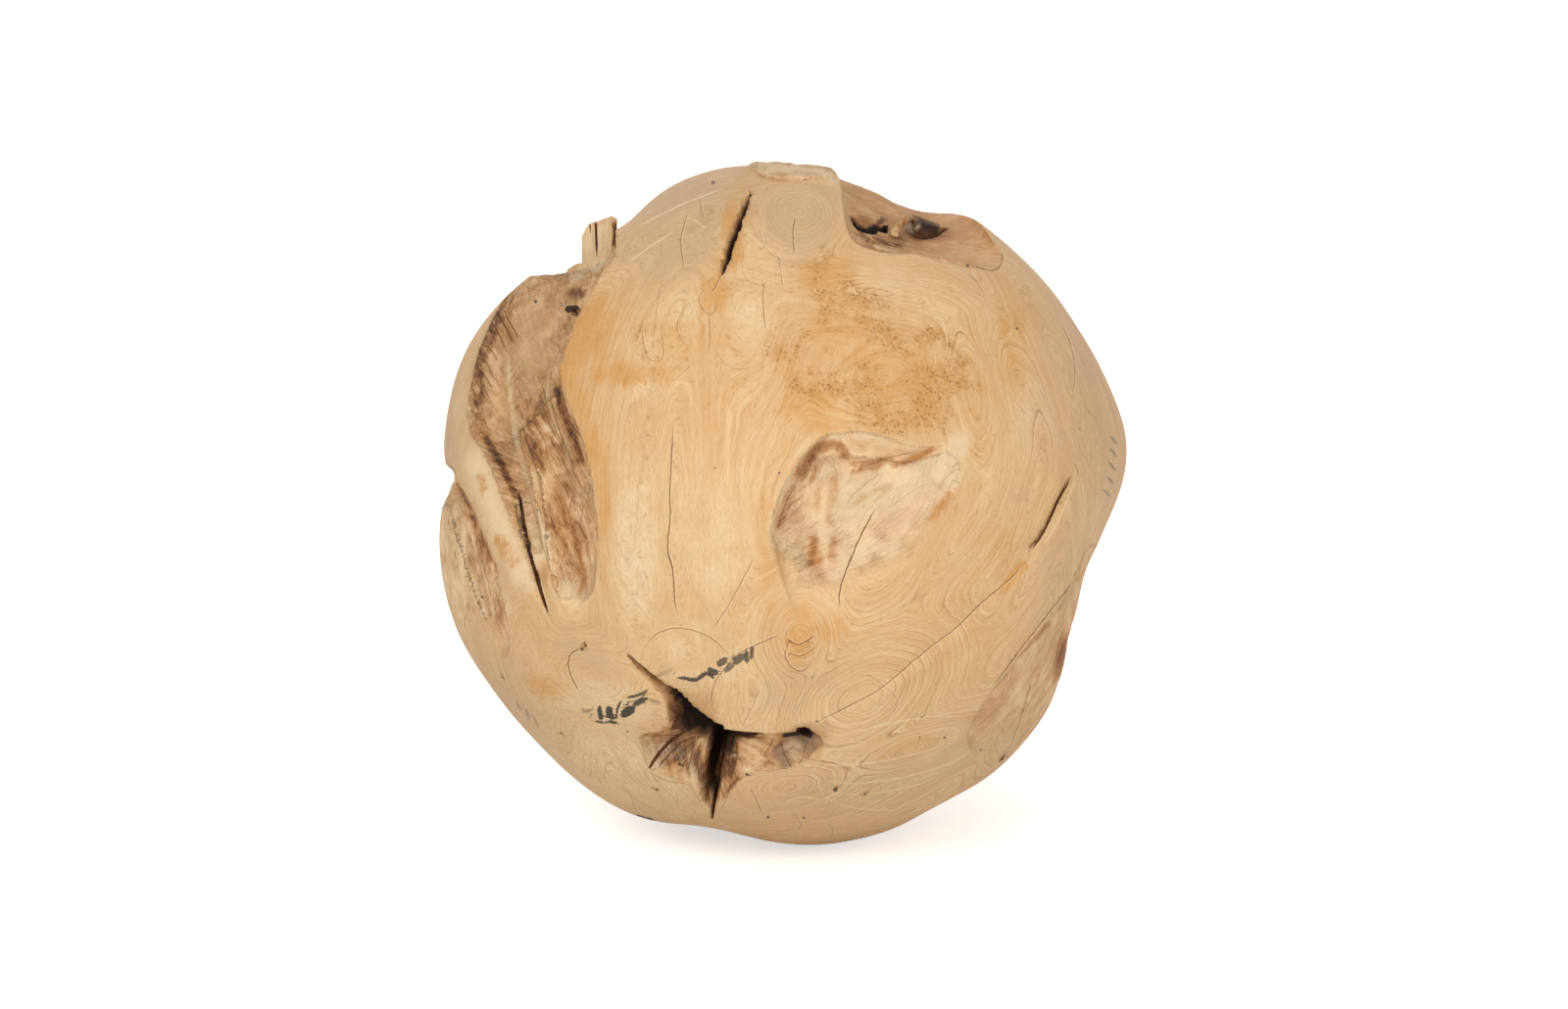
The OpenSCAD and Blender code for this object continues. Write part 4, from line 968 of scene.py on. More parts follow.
pinkSpots = [
    (3.4, 96.3, 12, 3, -4, 0.8), (60, -58.6, 5, 14, -15, 0.8), (65.1, -52.9, 18, 7, 60, 0.5),
    (14.3, 7.1, 6, 10, 0, 0.7), (-85.7, -18.6, 10, 18, 0, 0.5), (46.3, 0, 4, 3, 40, 1),
    (32.9, -2.9, 20, 8, 42, 0.75), (-87.7, 6.3, 2, 4, 0, 1), (-28.6, -64.3, 3, 10, 70, 0.6),
]
rustBands = [
    (3.0, 0.5, [(-10, 97.1), (0, 96.3), (14.3, 94.6)]),
    (4.6, 0.95, [(-83.4, -8.3), (-80.9, -12.9), (-77.1, -18.3)]),
    (2.4, 1.1, [(-88.6, 8.9), (-87.7, 6), (-86.9, 3.1)]),
    (5.5, 0.42, [(-69.1, 24.3), (-65.7, 4.3), (-61.1, -17.1)]),
    (2.6, 0.85, [(42.3, -5.4), (45.4, -0.6), (48.9, 4.3)]),
    (1.3, 0.6, [(35.7, 12.6), (40, 14.6), (44, 16.6)]),
    (2.4, 0.7, [(12.9, -1.4), (14.6, 4.3), (13.4, 8.6)]),
    (2.4, 0.6, [(6.3, 0.9), (10, -0.6), (14.9, 0)]),
    (4.0, 0.7, [(8, -10), (9.1, -15.1), (11.4, -17.1)]),
    (2.0, 0.35, [(19.4, -20), (28.6, -12.9), (40, -8.6)]),
    (1.2, 0.6, [(19.4, -1.4), (24.3, 2.9), (30, 5.7)]),
    (2.0, 0.6, [(-60, -12.9), (-58, -21.4), (-60, -27.7)]),
    (1.0, 0.6, [(-41.4, 51.4), (-42, 47.7)]),
    (0.9, 0.6, [(-38.9, 48.6), (-37.4, 44.3), (-36.3, 40.9)]),
    (1.2, 0.6, [(-29.4, 43.7), (-26.6, 46.6)]),
    (1.6, 0.6, [(-16.6, 46.6), (-13.7, 44.3), (-10, 46.6)]),
    (1.4, 0.6, [(-4.3, 50.6), (-1.4, 46.6)]), (1.2, 0.5, [(2.3, 43.7), (5.1, 42)]),
    (1.4, 0.6, [(-48.6, 40.9), (-45.7, 36.9), (-47.4, 33.4)]),
    (1.0, 0.6, [(-24, 52.9), (-22.3, 48.6)]), (1.2, 0.5, [(-6.9, 58.6), (-5.7, 52.9)]),
    (1.6, 0.5, [(11.4, 52.9), (14.3, 48.6)]),
    (1.2, 0.5, [(-57.1, 35.1), (-52.9, 37.4), (-49.1, 36.3)]),
    (1.5, 0.6, [(12.9, 61.4), (14.3, 57.1)]),
]
# where torn grain is streaked, and where it is calm
hatchBands = [
    (14.0, 0.75, valleyBed),
    (6.5, 1, [(-77.1, 62.3), (-82.3, 55.7), (-85.7, 49.4), (-88.3, 42), (-89.4, 34.3),
              (-89.4, 21.4)]),
    (3.5, 1, [(-88, 21.4), (-84.9, 16.3), (-82, 11.4), (-78.9, 4.3), (-75.7, -4.3)]),
    (4.5, 1, [(-68.6, 27.1), (-65.7, 12.9), (-62.9, -4.3), (-61.4, -18.6)]), (2.6, 1, bayBed),
    (4.0, 1, [(20.6, 79.7), (25.7, 75.7), (34.3, 75.1)]),
    (3.0, 0.9, [(-92, 2), (-89.1, -8.6), (-86, -18), (-83.7, -27.1), (-82.3, -35.7)]),
    (3.0, 1, [(-28.6, -68.6), (-24, -74.3), (-22.3, -84.3)]),
    (3.0, 1, [(-14.9, -67.7), (-16.6, -74.3), (-19.1, -82.9)]),
]
calmBands = [
    (11.0, 0.9, [(-71.4, 59.1), (-72.6, 55.7), (-73.4, 47.1), (-74, 37.1)]),
    (4.0, 0.6, [(-81.4, 40), (-81.4, 30), (-80, 21.4)]), (4.0, 0.7, [(-65.7, 61.4), (-60.6, 61.4)]),
    (10.0, 0.45, [(22.9, -12.9), (31.4, -2.9), (42.9, 7.1)]),
]
# strands of wood that cross the mouth and the cracks, where the painted shade is lifted, and
# bands of painted shade in the darkest pockets
strandBands = [
    (2.6, 1, [(-25.7, -64.9), (-24.9, -72.6), (-22.9, -80.3)]),
    (3.5, 0.78, [(84, 8.3), (79.4, 0.9), (76, -6.6), (70.9, -14.9)]),
    (3.0, 0.7, [(-78, 8.3), (-76.3, 0.9), (-74.3, -8.6), (-72.6, -16.3)]),
    (0.9, 0.8, [(-31.4, -57.4), (-29.1, -61.7), (-26.6, -64.6)]),
    (0.8, 0.7, [(-33.4, -57.4), (-31.7, -61.4), (-30, -64.9)]),
    (0.8, 0.7, [(-26.9, -61.1), (-24.3, -64.6), (-22.9, -67.1)]),
    (1.4, 0.9, [(-20.9, -65.4), (-22, -70.6), (-23.4, -75.1)]),
    (2.6, 0.95, [(-16, -66), (-17.4, -72.3), (-19.1, -79.1)]),
    (1.6, 0.8, [(-29.1, -59.1), (-26.9, -63.7), (-25.1, -66.3)]),
    (1.6, 0.7, [(-22.3, -64.3), (-21.1, -67.7), (-21.7, -71.7)]),
]
shadeBands = [
    (1.0, 1, [(-0.6, -67.1), (2.9, -66.6), (6.3, -66)]),
    (1.5, 1, [(4.9, -66.3), (6.6, -66.6), (8.3, -67.4)]),
    (3.6, 0.45, [(36.6, 84), (40.9, 82), (45.7, 80.3)]),
]
# how brown, pink and streaked the torn grain of each zone is; in the pocket and the holes the
# brown is painted shade
zoneBrownAndShade = {
    "longHollow": 0.42, "bay": 0.38, "valley": 0.3, "heart": 0.03, "heartLedge": 0.22,
    "crown": 0.42, "pocket": 1, "flank": 0.24, "apron": 0.47, "mouth": 0.85, "fissure": 0.85,
    "crack": 0.42, "hole": 1.2, "ledge": 0.06, "stub": 0.02, "knot": 0.35,
}
zonePink = {
    "valley": 0.4, "heart": 0.5, "heartLedge": 0.2, "crown": 0.4, "flank": 0.25, "apron": 0.3,
    "ledge": 0.5, "crack": 0.2,
}
zoneHatch = {
    "longHollow": 0.45, "bay": 0.75, "valley": 0.5, "heart": 0.52, "heartLedge": 0.2, "crown": 0.06,
    "flank": 0.35, "apron": 0.8, "mouth": 0.9, "fissure": 1, "crack": 0.75, "ledge": 0.6,
    "stub": 0.45, "knot": 0.5,
}


def fromZones(values, rounds):  # each zone's value spread a little into its neighbours
    field = (zoneShare @ np.array([values.get(name, 0) for name in zones]))[:, None]
    for i in range(rounds):
        field = field + 0.5 * torn[:, None] * (neighbourMean(field) - field)
    return field[:, 0]


brownAndShade = np.maximum(fromZones(zoneBrownAndShade, 10), spotField(brownAndShadeSpots))
brownAndShade = np.maximum(brownAndShade, bandField(brownAndShadeBands))
# painted shade from depth: the mouth and the cracks are painted darker than a hollow as deep, the
# pocket bands add painted shade, and it is lifted on the strands that cross them. Extra depth, and
# how soon it is all there
gloom = {"mouth": (12, 8), "crack": (30, 1.5), "pocket": 26, "strand": 0.8}
shade = depth + gloom["pocket"] * bandField(shadeBands)
for (extra, within), share in ((gloom["mouth"], zoneSum("mouth", "fissure", "crack")),
                               (gloom["crack"], zoneSum("crack"))):
    shade += extra * share * np.clip(depth / within, 0, 1)
shade *= 1 - gloom["strand"] * bandField(strandBands)
pink = np.maximum(fromZones(zonePink, 4), spotField(pinkSpots))
rusts = bandField(rustBands)
hatch = np.maximum(fromZones(zoneHatch, 6), bandField(hatchBands))
hatch *= 1 - bandField(calmBands)
warmth = np.maximum(spotField(warmSpots), bandField(warmBands))
palenessAndHighlight = np.maximum(spotField(paleSpots), bandField(paleAndHighlightBands))
faintRings = 0.16 + 0.34 * np.clip(points[:, 1] / 40, 0, 1)  # plainer on the back
ringStrength = np.maximum(spotField(ringSpots), faintRings)
ringStrength *= 1 - spotField(calmSpots)
footward = np.clip((-30 - points[:, 2] * 100 / radius) / 40, 0, 1)

# place across and along the torn grain, from the nearest floor point of the zone's own cutter
across, along = np.zeros(count), np.zeros(count)
for index, name in enumerate(zones):
    bed, chosen = grainPoints[name], np.nonzero(zoneShare.argmax(1) == index)[0]
    if not bed or not len(chosen):
        continue
    bedTree = treeOf([p for p, _, _ in bed])
    nearest = [bedTree.find(points[k])[1] for k in chosen]
    across[chosen] = [bed[i][1] for i in nearest]
    along[chosen] = [bed[i][2] for i in nearest]
bare = (across == 0) & (along == 0)
across[bare], along[bare] = points[bare, 0], points[bare, 2]

# beside the finger crack it runs along the crack, and round the mouth to the top of the fissure
besideCrack = [(4.6, 1, [(-76, 0.9), (-74.9, -3.4), (-72.9, -10), (-71.1, -17.1)])]
beside = bandField(besideCrack) > 0.4
across[beside], along[beside] = points[beside, 0] + 0.25 * points[beside, 2], points[beside, 2]
fissureTop, fanWidth = (-21.4, -64.9), 22  # it fans out by this much for a radian
radial = zoneSum("apron", "mouth", "fissure") > 0.3
away = points[radial][:, [0, 2]] - np.array(fissureTop) * radius / 100
across[radial] = np.arctan2(away[:, 1], away[:, 0]) * fanWidth
along[radial] = np.linalg.norm(away, axis=1)

# skin left torn along paths, torn floors worn smooth, and edges that break up raggedly
tornBands = [
    (7.0, 1, [(-31.4, -64.9), (-33.4, -70.6), (-28.6, -77.1)]),
    (2.6, 0.8, [(9.7, -67.7), (10.6, -71.1), (8.9, -74.6)]),
    (9.5, 0.62, [(-92.6, 17.1), (-89.4, 10), (-86.6, 2), (-83.1, -7.1), (-79.1, -16.3),
                 (-74.3, -25.4)]),
    (17.0, 1, [(-97.1, 0), (-94.9, -12.9), (-90.9, -24.3), (-85.7, -37.1)]),
    (4.5, 1, [(-80, 35.7), (-77.7, 24.3), (-73.4, 11.4), (-70.6, 0), (-68.6, -12.9), (-66.9, -20)]),
    (5.0, 1, [(-90.9, 26), (-85.7, 21.4), (-82.3, 16.3)]),
    (4.5, 1, [(-85.1, 20), (-80.6, 11.4), (-77.1, 2.9), (-74.3, -7.1), (-71.7, -15.7),
              (-69.7, -24.3)]),
]
fadeSpots = [
    (52.9, -10.9, 32, 14, 45, 1), (30, -25.1, 26, 10, 20, 1), (58, 11.7, 12, 4.5, 75, 1),
    (56.3, 2, 9, 5, 60, 1), (60, -72.9, 18, 8, 35, 0.8), (68.6, -67.1, 10, 8, 35, 0.6),
    (-60.6, -30.6, 8, 4, 0, 1), (-85.7, -40, 8, 5, 110, 0.9), (57.1, 70.6, 12, 5, -20, 0.5),
    (17.1, 88.6, 5, 12, 0, 0.6), (10, -30.6, 18, 9, 0, 1), (-2.3, -22, 9, 8, 90, 1),
]
raggedSpots = [
    (-15.7, -78.6, 34, 14, 0, 1), (8.6, -21.4, 20, 12, 0, 1), (-85.7, -24.3, 10, 30, 110, 0.8),
    (37.1, 74.3, 24, 6, -8, 0.6), (60, -64.3, 20, 20, 0, 0.7), (-60, -12.9, 8, 24, 0, 0.5),
]
rough = torn[:, None]
for i in range(14):
    rough = 0.5 * (rough + neighbourMean(rough))
rough = torn + spotField(raggedSpots) * (rough[:, 0] - torn)
rough = np.maximum(rough, bandField(tornBands)) * (1 - spotField(fadeSpots))

# hairlines in layers that keep crossing lines apart: half width, darkness (below zero a pale line,
# a painted highlight on raised grain) and path
hairlines = {
    "lineA": [
        (0.55, 0.9, [(-32, 23.7), (-32.6, 12.9), (-33.1, 2.9), (-32.9, -2.9), (-33.7, -12.9),
                     (-32.3, -18.6), (-31.7, -27.1), (-30.6, -33.4)]),
        (0.4, 0.7, [(-40.6, -42), (-37.7, -38), (-32.9, -36), (-28.6, -36), (-22.9, -37.7),
                    (-18.6, -40.6), (-15.1, -44.9)]),
        (0.35, 0.8, [(-27.7, 85.1), (-29.4, 80), (-30, 75.7), (-28.9, 67.7)]),
        (0.4, 0.9, [(3.4, 83.7), (2.6, 78.6), (3.1, 72.3)]),
        (0.4, 0.8, [(-18.3, 66.9), (-19.4, 64.3), (-20.9, 61.4)]),
        (0.35, 0.8, [(-5.7, 64.9), (-6, 58.6), (-5.4, 50)]),
        (0.55, 1, [(26.6, -0.9), (22, -9.4), (19.4, -15.7), (17.1, -21.4), (16, -26.6),
                   (16.3, -30.6)]),
        (0.45, 0.85, [(85.1, -21.4), (80.9, -26.3), (75.7, -33.1), (68.9, -41.7), (63.4, -49.1),
                      (59.4, -54)]),
        (0.5, 0.9, [(-58.6, -41.7), (-62, -43.4), (-62.6, -47.1), (-61.4, -50.6), (-59.4, -54.3)]),
        (0.35, 0.8, [(-10, -82.3), (-8, -85.7), (-6.3, -90)]),
        (0.3, 0.7, [(12, -92.3), (14.3, -94.3), (13.7, -97.1)]),
        (0.35, 0.7, [(83.7, 12.9), (85.1, 10.6), (85.7, 8)]),
        (0.3, 0.6, [(-19.4, 44.3), (-16.9, 40.6), (-12.6, 39.1), (-8.9, 40.3)]),
        (0.3, 0.6, [(-27.7, 58.3), (-30.3, 54.6), (-30.9, 50.6), (-29.1, 46.9), (-27.1, 45.7)]),
        (0.3, 0.5, [(-11.4, 75.7), (-12, 68), (-9.7, 64.6), (-4, 63.7)]),
        (0.3, 0.5, [(-26.6, 40.6), (-29.4, 38), (-32.6, 35.4)]),
        (1.6, 1.4, [(-39.4, -77.1), (-37.1, -73.4), (-33.4, -69.1), (-28.9, -66)]),
        (1.1, 1.15, [(82.9, 6.9), (79.4, 0.9), (76, -6.6), (72, -13.1)]),
        (0.6, 1.1, [(-84, 56.3), (-81.4, 52.3), (-78.9, 47.1)]),
        (0.4, 0.7, [(-2, -8), (-0.6, -2.6), (1.7, 2.9), (4, 6)]),
        (0.35, 0.45, [(20, -50.3), (24.3, -49.4), (28.6, -52.3), (32.9, -56.3), (32.3, -59.1),
                      (30.3, -62)]),
        (0.45, 0.8, [(54.3, 69.7), (60.6, 68), (63.4, 70.6), (63.1, 73.4)]),
        (0.4, 0.7, [(-67.1, 40.9), (-68, 34.3), (-66.9, 27.1), (-64.6, 20), (-62, 12.9),
                    (-59.7, 6)]),
        (0.4, 0.6, [(-86.3, 39.1), (-84.3, 37.1), (-82.6, 33.7)]),
        (0.4, 0.6, [(-75.7, 21.4), (-74, 16.3), (-71.4, 12.3)]),
        (0.4, 0.6, [(-72.9, 2.9), (-70.9, -1.4), (-69.7, -6.6)]),
        (0.4, 0.6, [(-61.1, 2.9), (-62.3, -2.9), (-60.6, -8.6)]),
        (0.5, 0.9, [(-20.9, -65.7), (-21.7, -72.9), (-22.3, -80)]),
        (0.45, 0.9, [(-26, -67.1), (-26.9, -73.4), (-28.6, -78.6)]),
        (0.35, 0.55, [(-39.7, -77.4), (-36.6, -79.1), (-33.1, -80.6), (-29.4, -80.9),
                      (-26.9, -82.3), (-24.6, -86), (-22.3, -90)]),
        (0.45, 0.8, [(-2.9, -67.7), (-4.3, -70.6), (-6, -73.1)]),
        (0.35, 0.5, [(-89.7, -7.1), (-88.3, -11.7), (-87.4, -17.1)]),
        (0.35, 0.5, [(-72.6, 66.3), (-69.7, 64.3), (-66.9, 64.9)]),
        (0.4, 0.28, [(30, -1.4), (35.7, 2.9), (42.3, 6.6)]),
        (0.4, 0.28, [(20, 2.9), (25.1, 7.1), (30, 9.7)]),
        (0.4, 0.28, [(35.7, -8.6), (40, -3.4), (42.9, 0.9)]),
    ],
    "lineB": [
        (0.35, 0.75, [(-8.3, -14.9), (-15.7, -28.6), (-19.4, -34.3), (-21.1, -37.1)]),
        (0.3, 0.45, [(-44.3, -26.6), (-40.6, -31.4), (-36.6, -36.6)]),
        (0.35, 0.7, [(-24.6, 89.4), (-24, 85.7), (-23.4, 83.1)]),
        (0.3, 0.6, [(-34.9, 67.7), (-36.6, 58.6), (-37.7, 48.6), (-38, 42)]),
        (0.3, 0.5, [(-7.1, 80), (-5.1, 74), (-1.1, 71.4)]),
        (0.5, 1.0, [(-81.7, 56.9), (-79.7, 52.9), (-77.1, 48.3)]),
        (0.4, 0.8, [(-91.4, 21.1), (-90.3, 24), (-87.7, 24.6), (-86, 22.3)]),
        (0.35, 0.8, [(-90.3, 18.9), (-88.3, 21.1), (-86, 19.4)]),
        (0.3, 0.5, [(10.9, 0.9), (9.7, 5.7), (10.6, 10.6), (13.1, 14), (14.9, 10), (15.1, 2.9)]),
        (0.3, 0.7, [(-1.7, 73.4), (-0.9, 67.1), (-0.3, 62.6)]),
        (0.4, 0.8, [(-20.9, -60.9), (-20.9, -54.3), (-19.1, -50), (-15.7, -45.7), (-11.4, -42.3),
                    (0, -37.1)]),
        (0.3, 0.7, [(-7.1, -54.3), (-9.4, -59.1), (-12.3, -64.9)]),
        (0.25, 0.6, [(1.4, -87.7), (5.1, -92.9), (2.3, -96.3)]),
        (0.45, 0.75, [(73.1, -13.4), (65.7, -21.4), (57.1, -28.6), (50, -35.7), (44.3, -40),
                      (37.1, -45.7), (28.6, -52.9), (22.9, -56.3), (10, -62.9), (6.3, -64.9)]),
        (0.25, 0.6, [(74.3, 65.7), (76.6, 62.9), (76, 59.1)]),
        (0.35, 0.65, [(-21.7, 55.1), (-21.4, 50), (-21.7, 43.7)]),
        (0.3, 0.5, [(-50.9, -51.7), (-49.1, -53.4), (-47.4, -55.1)]),
        (0.25, 0.5, [(-85.7, 2.9), (-92, 0), (-94.9, 5.1)]),
        (1.6, 1.4, [(-77.4, 4), (-76.3, -0.3), (-75.4, -6), (-74, -13.1), (-72.3, -19.1),
                    (-70.6, -25.1), (-68.3, -32)]),
        (0.45, 0.55, [(17.7, 11.1), (24.3, 11.4), (32, 14), (40, 15.4)]),
        (0.4, 0.6, [(-70.6, 36.3), (-69.1, 30), (-67.1, 23.7), (-64.6, 18)]),
        (0.5, 0.9, [(-16.6, -66.6), (-17.7, -73.4), (-19.7, -81.4)]),
        (0.35, 0.55, [(-19.7, -90.6), (-16.9, -86), (-15.1, -81.4), (-12, -79.1), (-8, -78.3),
                      (-4, -77.7)]),
        (0.4, 0.7, [(6.3, -69.4), (5.7, -72.9), (4.3, -75.7)]),
        (0.5, 0.9, [(-24, -67.7), (-25.1, -74.3), (-24.6, -80.9)]),
        (0.45, 0.7, [(-88.6, 43.1), (-86.3, 40.9), (-84.9, 37.4)]),
        (0.45, 0.7, [(-90, 35.4), (-87.4, 33.4), (-85.4, 30.6)]),
        (0.4, 0.6, [(-69.4, 17.1), (-67.7, 11.4), (-65.1, 7.1)]),
        (0.4, 0.6, [(-68.6, -1.4), (-66.6, -6.3), (-65.7, -11.7)]),
        (0.4, 0.5, [(-63.4, -12.9), (-64.6, -18.6), (-62.9, -23.7)]),
        (0.35, 0.5, [(-91.4, -12.9), (-89.4, -18.6), (-88, -24.3)]),
        (0.4, 0.28, [(24.6, -8.6), (30, -3.7), (35.7, -0.6)]),
        (0.4, 0.28, [(44.3, 4.3), (47.1, 8), (50, 10.6)]),
    ],
    "lineC": [
        (0.3, 0.5, [(6.6, -53.7), (4.3, -58.6), (2.3, -62.3)]),
        (0.35, 0.6, [(-41.1, 52.9), (-40.9, 48.6), (-40.3, 44.6), (-38.9, 42), (-35.7, 41.7),
                     (-35.1, 45.4), (-36, 52.9)]),
        (0.35, 0.6, [(-22.3, 63.1), (-24.6, 60.3), (-24, 57.4), (-22.6, 55.7), (-20.3, 55.4),
                     (-19.7, 59.1)]),
        (0.3, 0.4, [(-15.7, 61.4), (-13.7, 56.3), (-9.1, 53.7)]),
        # painted shade: the square hole in the long hollow drawn black
        (3.2, 1.8, [(-63.7, 56.6), (-61.7, 56.9), (-59.4, 56.9)]),
        (0.5, 1.0, [(-85.7, 54), (-83.1, 49.7), (-81.1, 45.4)]),
        (0.7, 1.0, [(-36.6, -76.3), (-33.1, -72.3), (-29.4, -68.6)]),
        (0.3, 0.4, [(-43.4, 35.7), (-40, 33.1), (-37.7, 35.1), (-38.3, 39.7)]),
        (0.45, -0.7, [(-45.7, 70), (-38.6, 75.1), (-31.4, 79.7)]),
        (0.45, -0.7, [(-42.3, 80.9), (-35.7, 84.3), (-28.6, 87.7), (-17.1, 92.3)]),
        (0.35, -0.6, [(-28.6, 83.7), (-25.1, 82), (-22.3, 80)]),
        (0.5, -0.45, [(84.3, 6.6), (82.6, 2.3), (80, -3.7), (77.1, -9.1), (74.6, -13.1)]),
        (0.5, 0.8, [(0.9, -38.6), (3.4, -40.6), (6.3, -39.7), (9.1, -37.7)]),
        (0.45, 0.8, [(0.9, -42.3), (3.7, -44), (6.9, -42.9), (9.1, -40.9)]),
        (0.45, 0.7, [(0.3, -35.7), (1.1, -40), (0.3, -43.7), (2, -46.9), (5.1, -48.3), (7.7, -46)]),
        (0.38, -0.55, [(13.4, -67.4), (22.9, -65.4), (32.9, -63.1), (42.9, -61.7), (52.9, -61.7)]),
        (0.38, -0.55, [(7.4, -75.1), (17.7, -75.7), (28.6, -74.6), (38.6, -72.3), (47.1, -70)]),
        (0.38, -0.55, [(10, -80.3), (21.4, -81.1), (35.7, -79.1), (47.1, -75.7), (55.7, -71.4)]),
        (0.35, -0.5, [(12.9, -84.3), (25.7, -84), (35.7, -82.3), (45.7, -79.1)]),
        (0.35, -0.45, [(4.3, -72.3), (8.6, -78.6), (12.9, -85.7), (22.9, -88.6), (34.3, -88.9)]),
        (0.4, -0.6, [(10.3, -85.7), (5.7, -84.9), (0, -86.6)]),
        (0.4, 0.55, [(80.6, 52.9), (83.4, 46.6), (84.6, 38.6), (84, 31.4)]),
        (0.35, 0.5, [(52.9, 68), (55.7, 64.9), (58.6, 60.6)]),
        (0.3, 0.6, [(-45.1, -83.7), (-43.7, -87.1), (-42.9, -90)]),
        (0.4, 0.55, [(72.3, -50), (70.6, -56.3), (68.6, -62.9), (66.6, -68.6), (64.6, -73.4)]),
        (0.3, 0.5, [(-31.4, -82.9), (-30.9, -85.1), (-30.9, -87.7)]),
        (0.4, 0.4, [(32.9, 11.1), (38.6, 13.4), (44.9, 16.3)]),
        (0.3, 0.6, [(-31.4, -53.4), (-28.6, -53.4), (-25.7, -53.7)]),
        (0.45, 0.7, [(-89.1, 39.7), (-86.6, 37.1), (-84.9, 33.4)]),
        (0.45, 0.7, [(-87.7, 46.6), (-85.1, 44.9), (-83.1, 41.4)]),
        (0.5, 0.9, [(-14, -67.7), (-13.7, -73.4), (-15.4, -79.1)]),
        (0.4, 0.9, [(-1.4, -67.1), (0, -72.3), (2.6, -77.1)]),
        (0.4, 0.7, [(-22.3, -81.4), (-21.7, -85.7), (-20.9, -89.4)]),
        (0.4, 0.6, [(-72.6, 23.7), (-69.7, 19.1), (-68.6, 15.1)]),
        (0.4, 0.6, [(-66.9, 4.3), (-64.3, 0), (-63.4, -4.9)]),
        (0.4, 0.6, [(-71.7, -8.6), (-69.7, -12.9), (-68, -18.6)]),
        (0.4, 0.6, [(-59.4, 4.3), (-58.3, -1.4), (-59.4, -7.1)]),
        (0.35, 0.5, [(-88.3, -15.7), (-86.3, -21.4), (-85.1, -27.7)]),
        (0.35, 0.5, [(-77.1, 65.4), (-74.3, 63.1), (-70.9, 62.6)]),
        (0.4, 0.28, [(22.9, -14.3), (28, -10), (32.9, -7.1)]),
        (0.4, 0.28, [(17.1, -1.4), (21.4, 4.3), (25.7, 6.6)]),
    ],
}
# blue-black stains in the grain: half width, strength and path, in layers like the hairlines
inkStrokes = {
    "inkA": [
        (1.3, 1, [(-53.7, -58.6), (-53.4, -60.6), (-53.1, -62.6)]),
        (0.7, 1, [(-47.1, -56.9), (-48.3, -59.1), (-48.9, -63.1)]),
        (1.7, 0.95, [(-43.7, -58), (-41.7, -57.1), (-39.7, -56.3)]),
        (0.9, 0.95, [(-51.7, -62.9), (-50, -63.1), (-48.3, -63.7)]),
        (1.1, 0.95, [(-30.9, -50.3), (-28.6, -50.3), (-26.6, -50.9), (-24.6, -50.6),
                     (-23.4, -49.1), (-21.4, -49.1), (-20.3, -50.6)]),
        (1.8, 0.85, [(-19.4, -46.6), (-18, -45.7), (-16.6, -44.6)]),
        (2.0, 0.85, [(-14.6, -46), (-13.1, -44.9), (-11.7, -43.4)]),
        (1.1, 0.85, [(-9.1, -40.9), (-9.4, -42.9), (-9.4, -44.9)]),
        (1.2, 0.3, [(-37.1, -50), (-34.9, -48.9), (-32.3, -47.7)]),
        (0.8, 0.5, [(95.4, 19.7), (96, 18.9), (96.9, 17.7)]),
        (0.8, 0.5, [(94.6, 12.3), (95.4, 11.1), (96.3, 10)]),
        (0.8, 0.5, [(93.1, 4.3), (94.3, 3.1), (95.1, 2)]),
        (0.6, 0.4, [(-78, -57.4), (-76.9, -59.1), (-76, -60.9)]),
        (0.6, 0.4, [(-73.4, -60.9), (-72.3, -62.9), (-71.4, -64.9)]),
        (1.2, 0.9, [(-43.4, -90.6), (-40.6, -91.7), (-37.4, -92)]),
    ],
    "inkB": [
        (2.0, 1, [(-50.9, -58.6), (-50.6, -60.6), (-50.3, -62.6)]),
        (2.4, 1, [(-47.1, -61.4), (-45.7, -60.3), (-43.4, -58.9)]),
        (0.8, 0.9, [(-54.9, -62.9), (-53.7, -63.1), (-52.3, -63.4)]),
        (0.8, 0.95, [(-45.7, -56), (-42.6, -55.4), (-39.4, -54)]),
        (1.2, 0.35, [(-39.1, -56.6), (-37.7, -57.1), (-36, -57.7)]),
        (1.8, 0.9, [(-22, -47.4), (-20.9, -48.3), (-19.1, -49.1)]),
        (1.5, 0.75, [(-17.1, -48.6), (-16, -47.4), (-14.6, -46)]),
        (1.4, 0.85, [(-10.9, -42.6), (-10.9, -44.3), (-10.6, -46)]),
        (0.8, 0.5, [(95.1, 16.3), (96, 15.1), (96.6, 14)]),
        (0.8, 0.5, [(94, 8.3), (94.9, 7.1), (95.7, 6)]),
        (0.6, 0.4, [(-75.7, -58.6), (-74.6, -60.9), (-74, -62.6)]),
        (1.0, 0.5, [(-58.9, -59.1), (-57.7, -60.3), (-55.4, -59.1)]),
    ],
}
# how far each kind of line is looked for, where it fades out, and how it tapers; ink is as wide as
# its strokes, so its reach grows with them
hairStroke = {"grow": 0, "reach": 9, "edge": 5, "fade": 1.5, "taper": 0.6, "width": 0.55}
inkStroke = {"grow": 1, "reach": 3, "edge": 2.4, "fade": 0.8, "taper": 0.4, "width": 1}


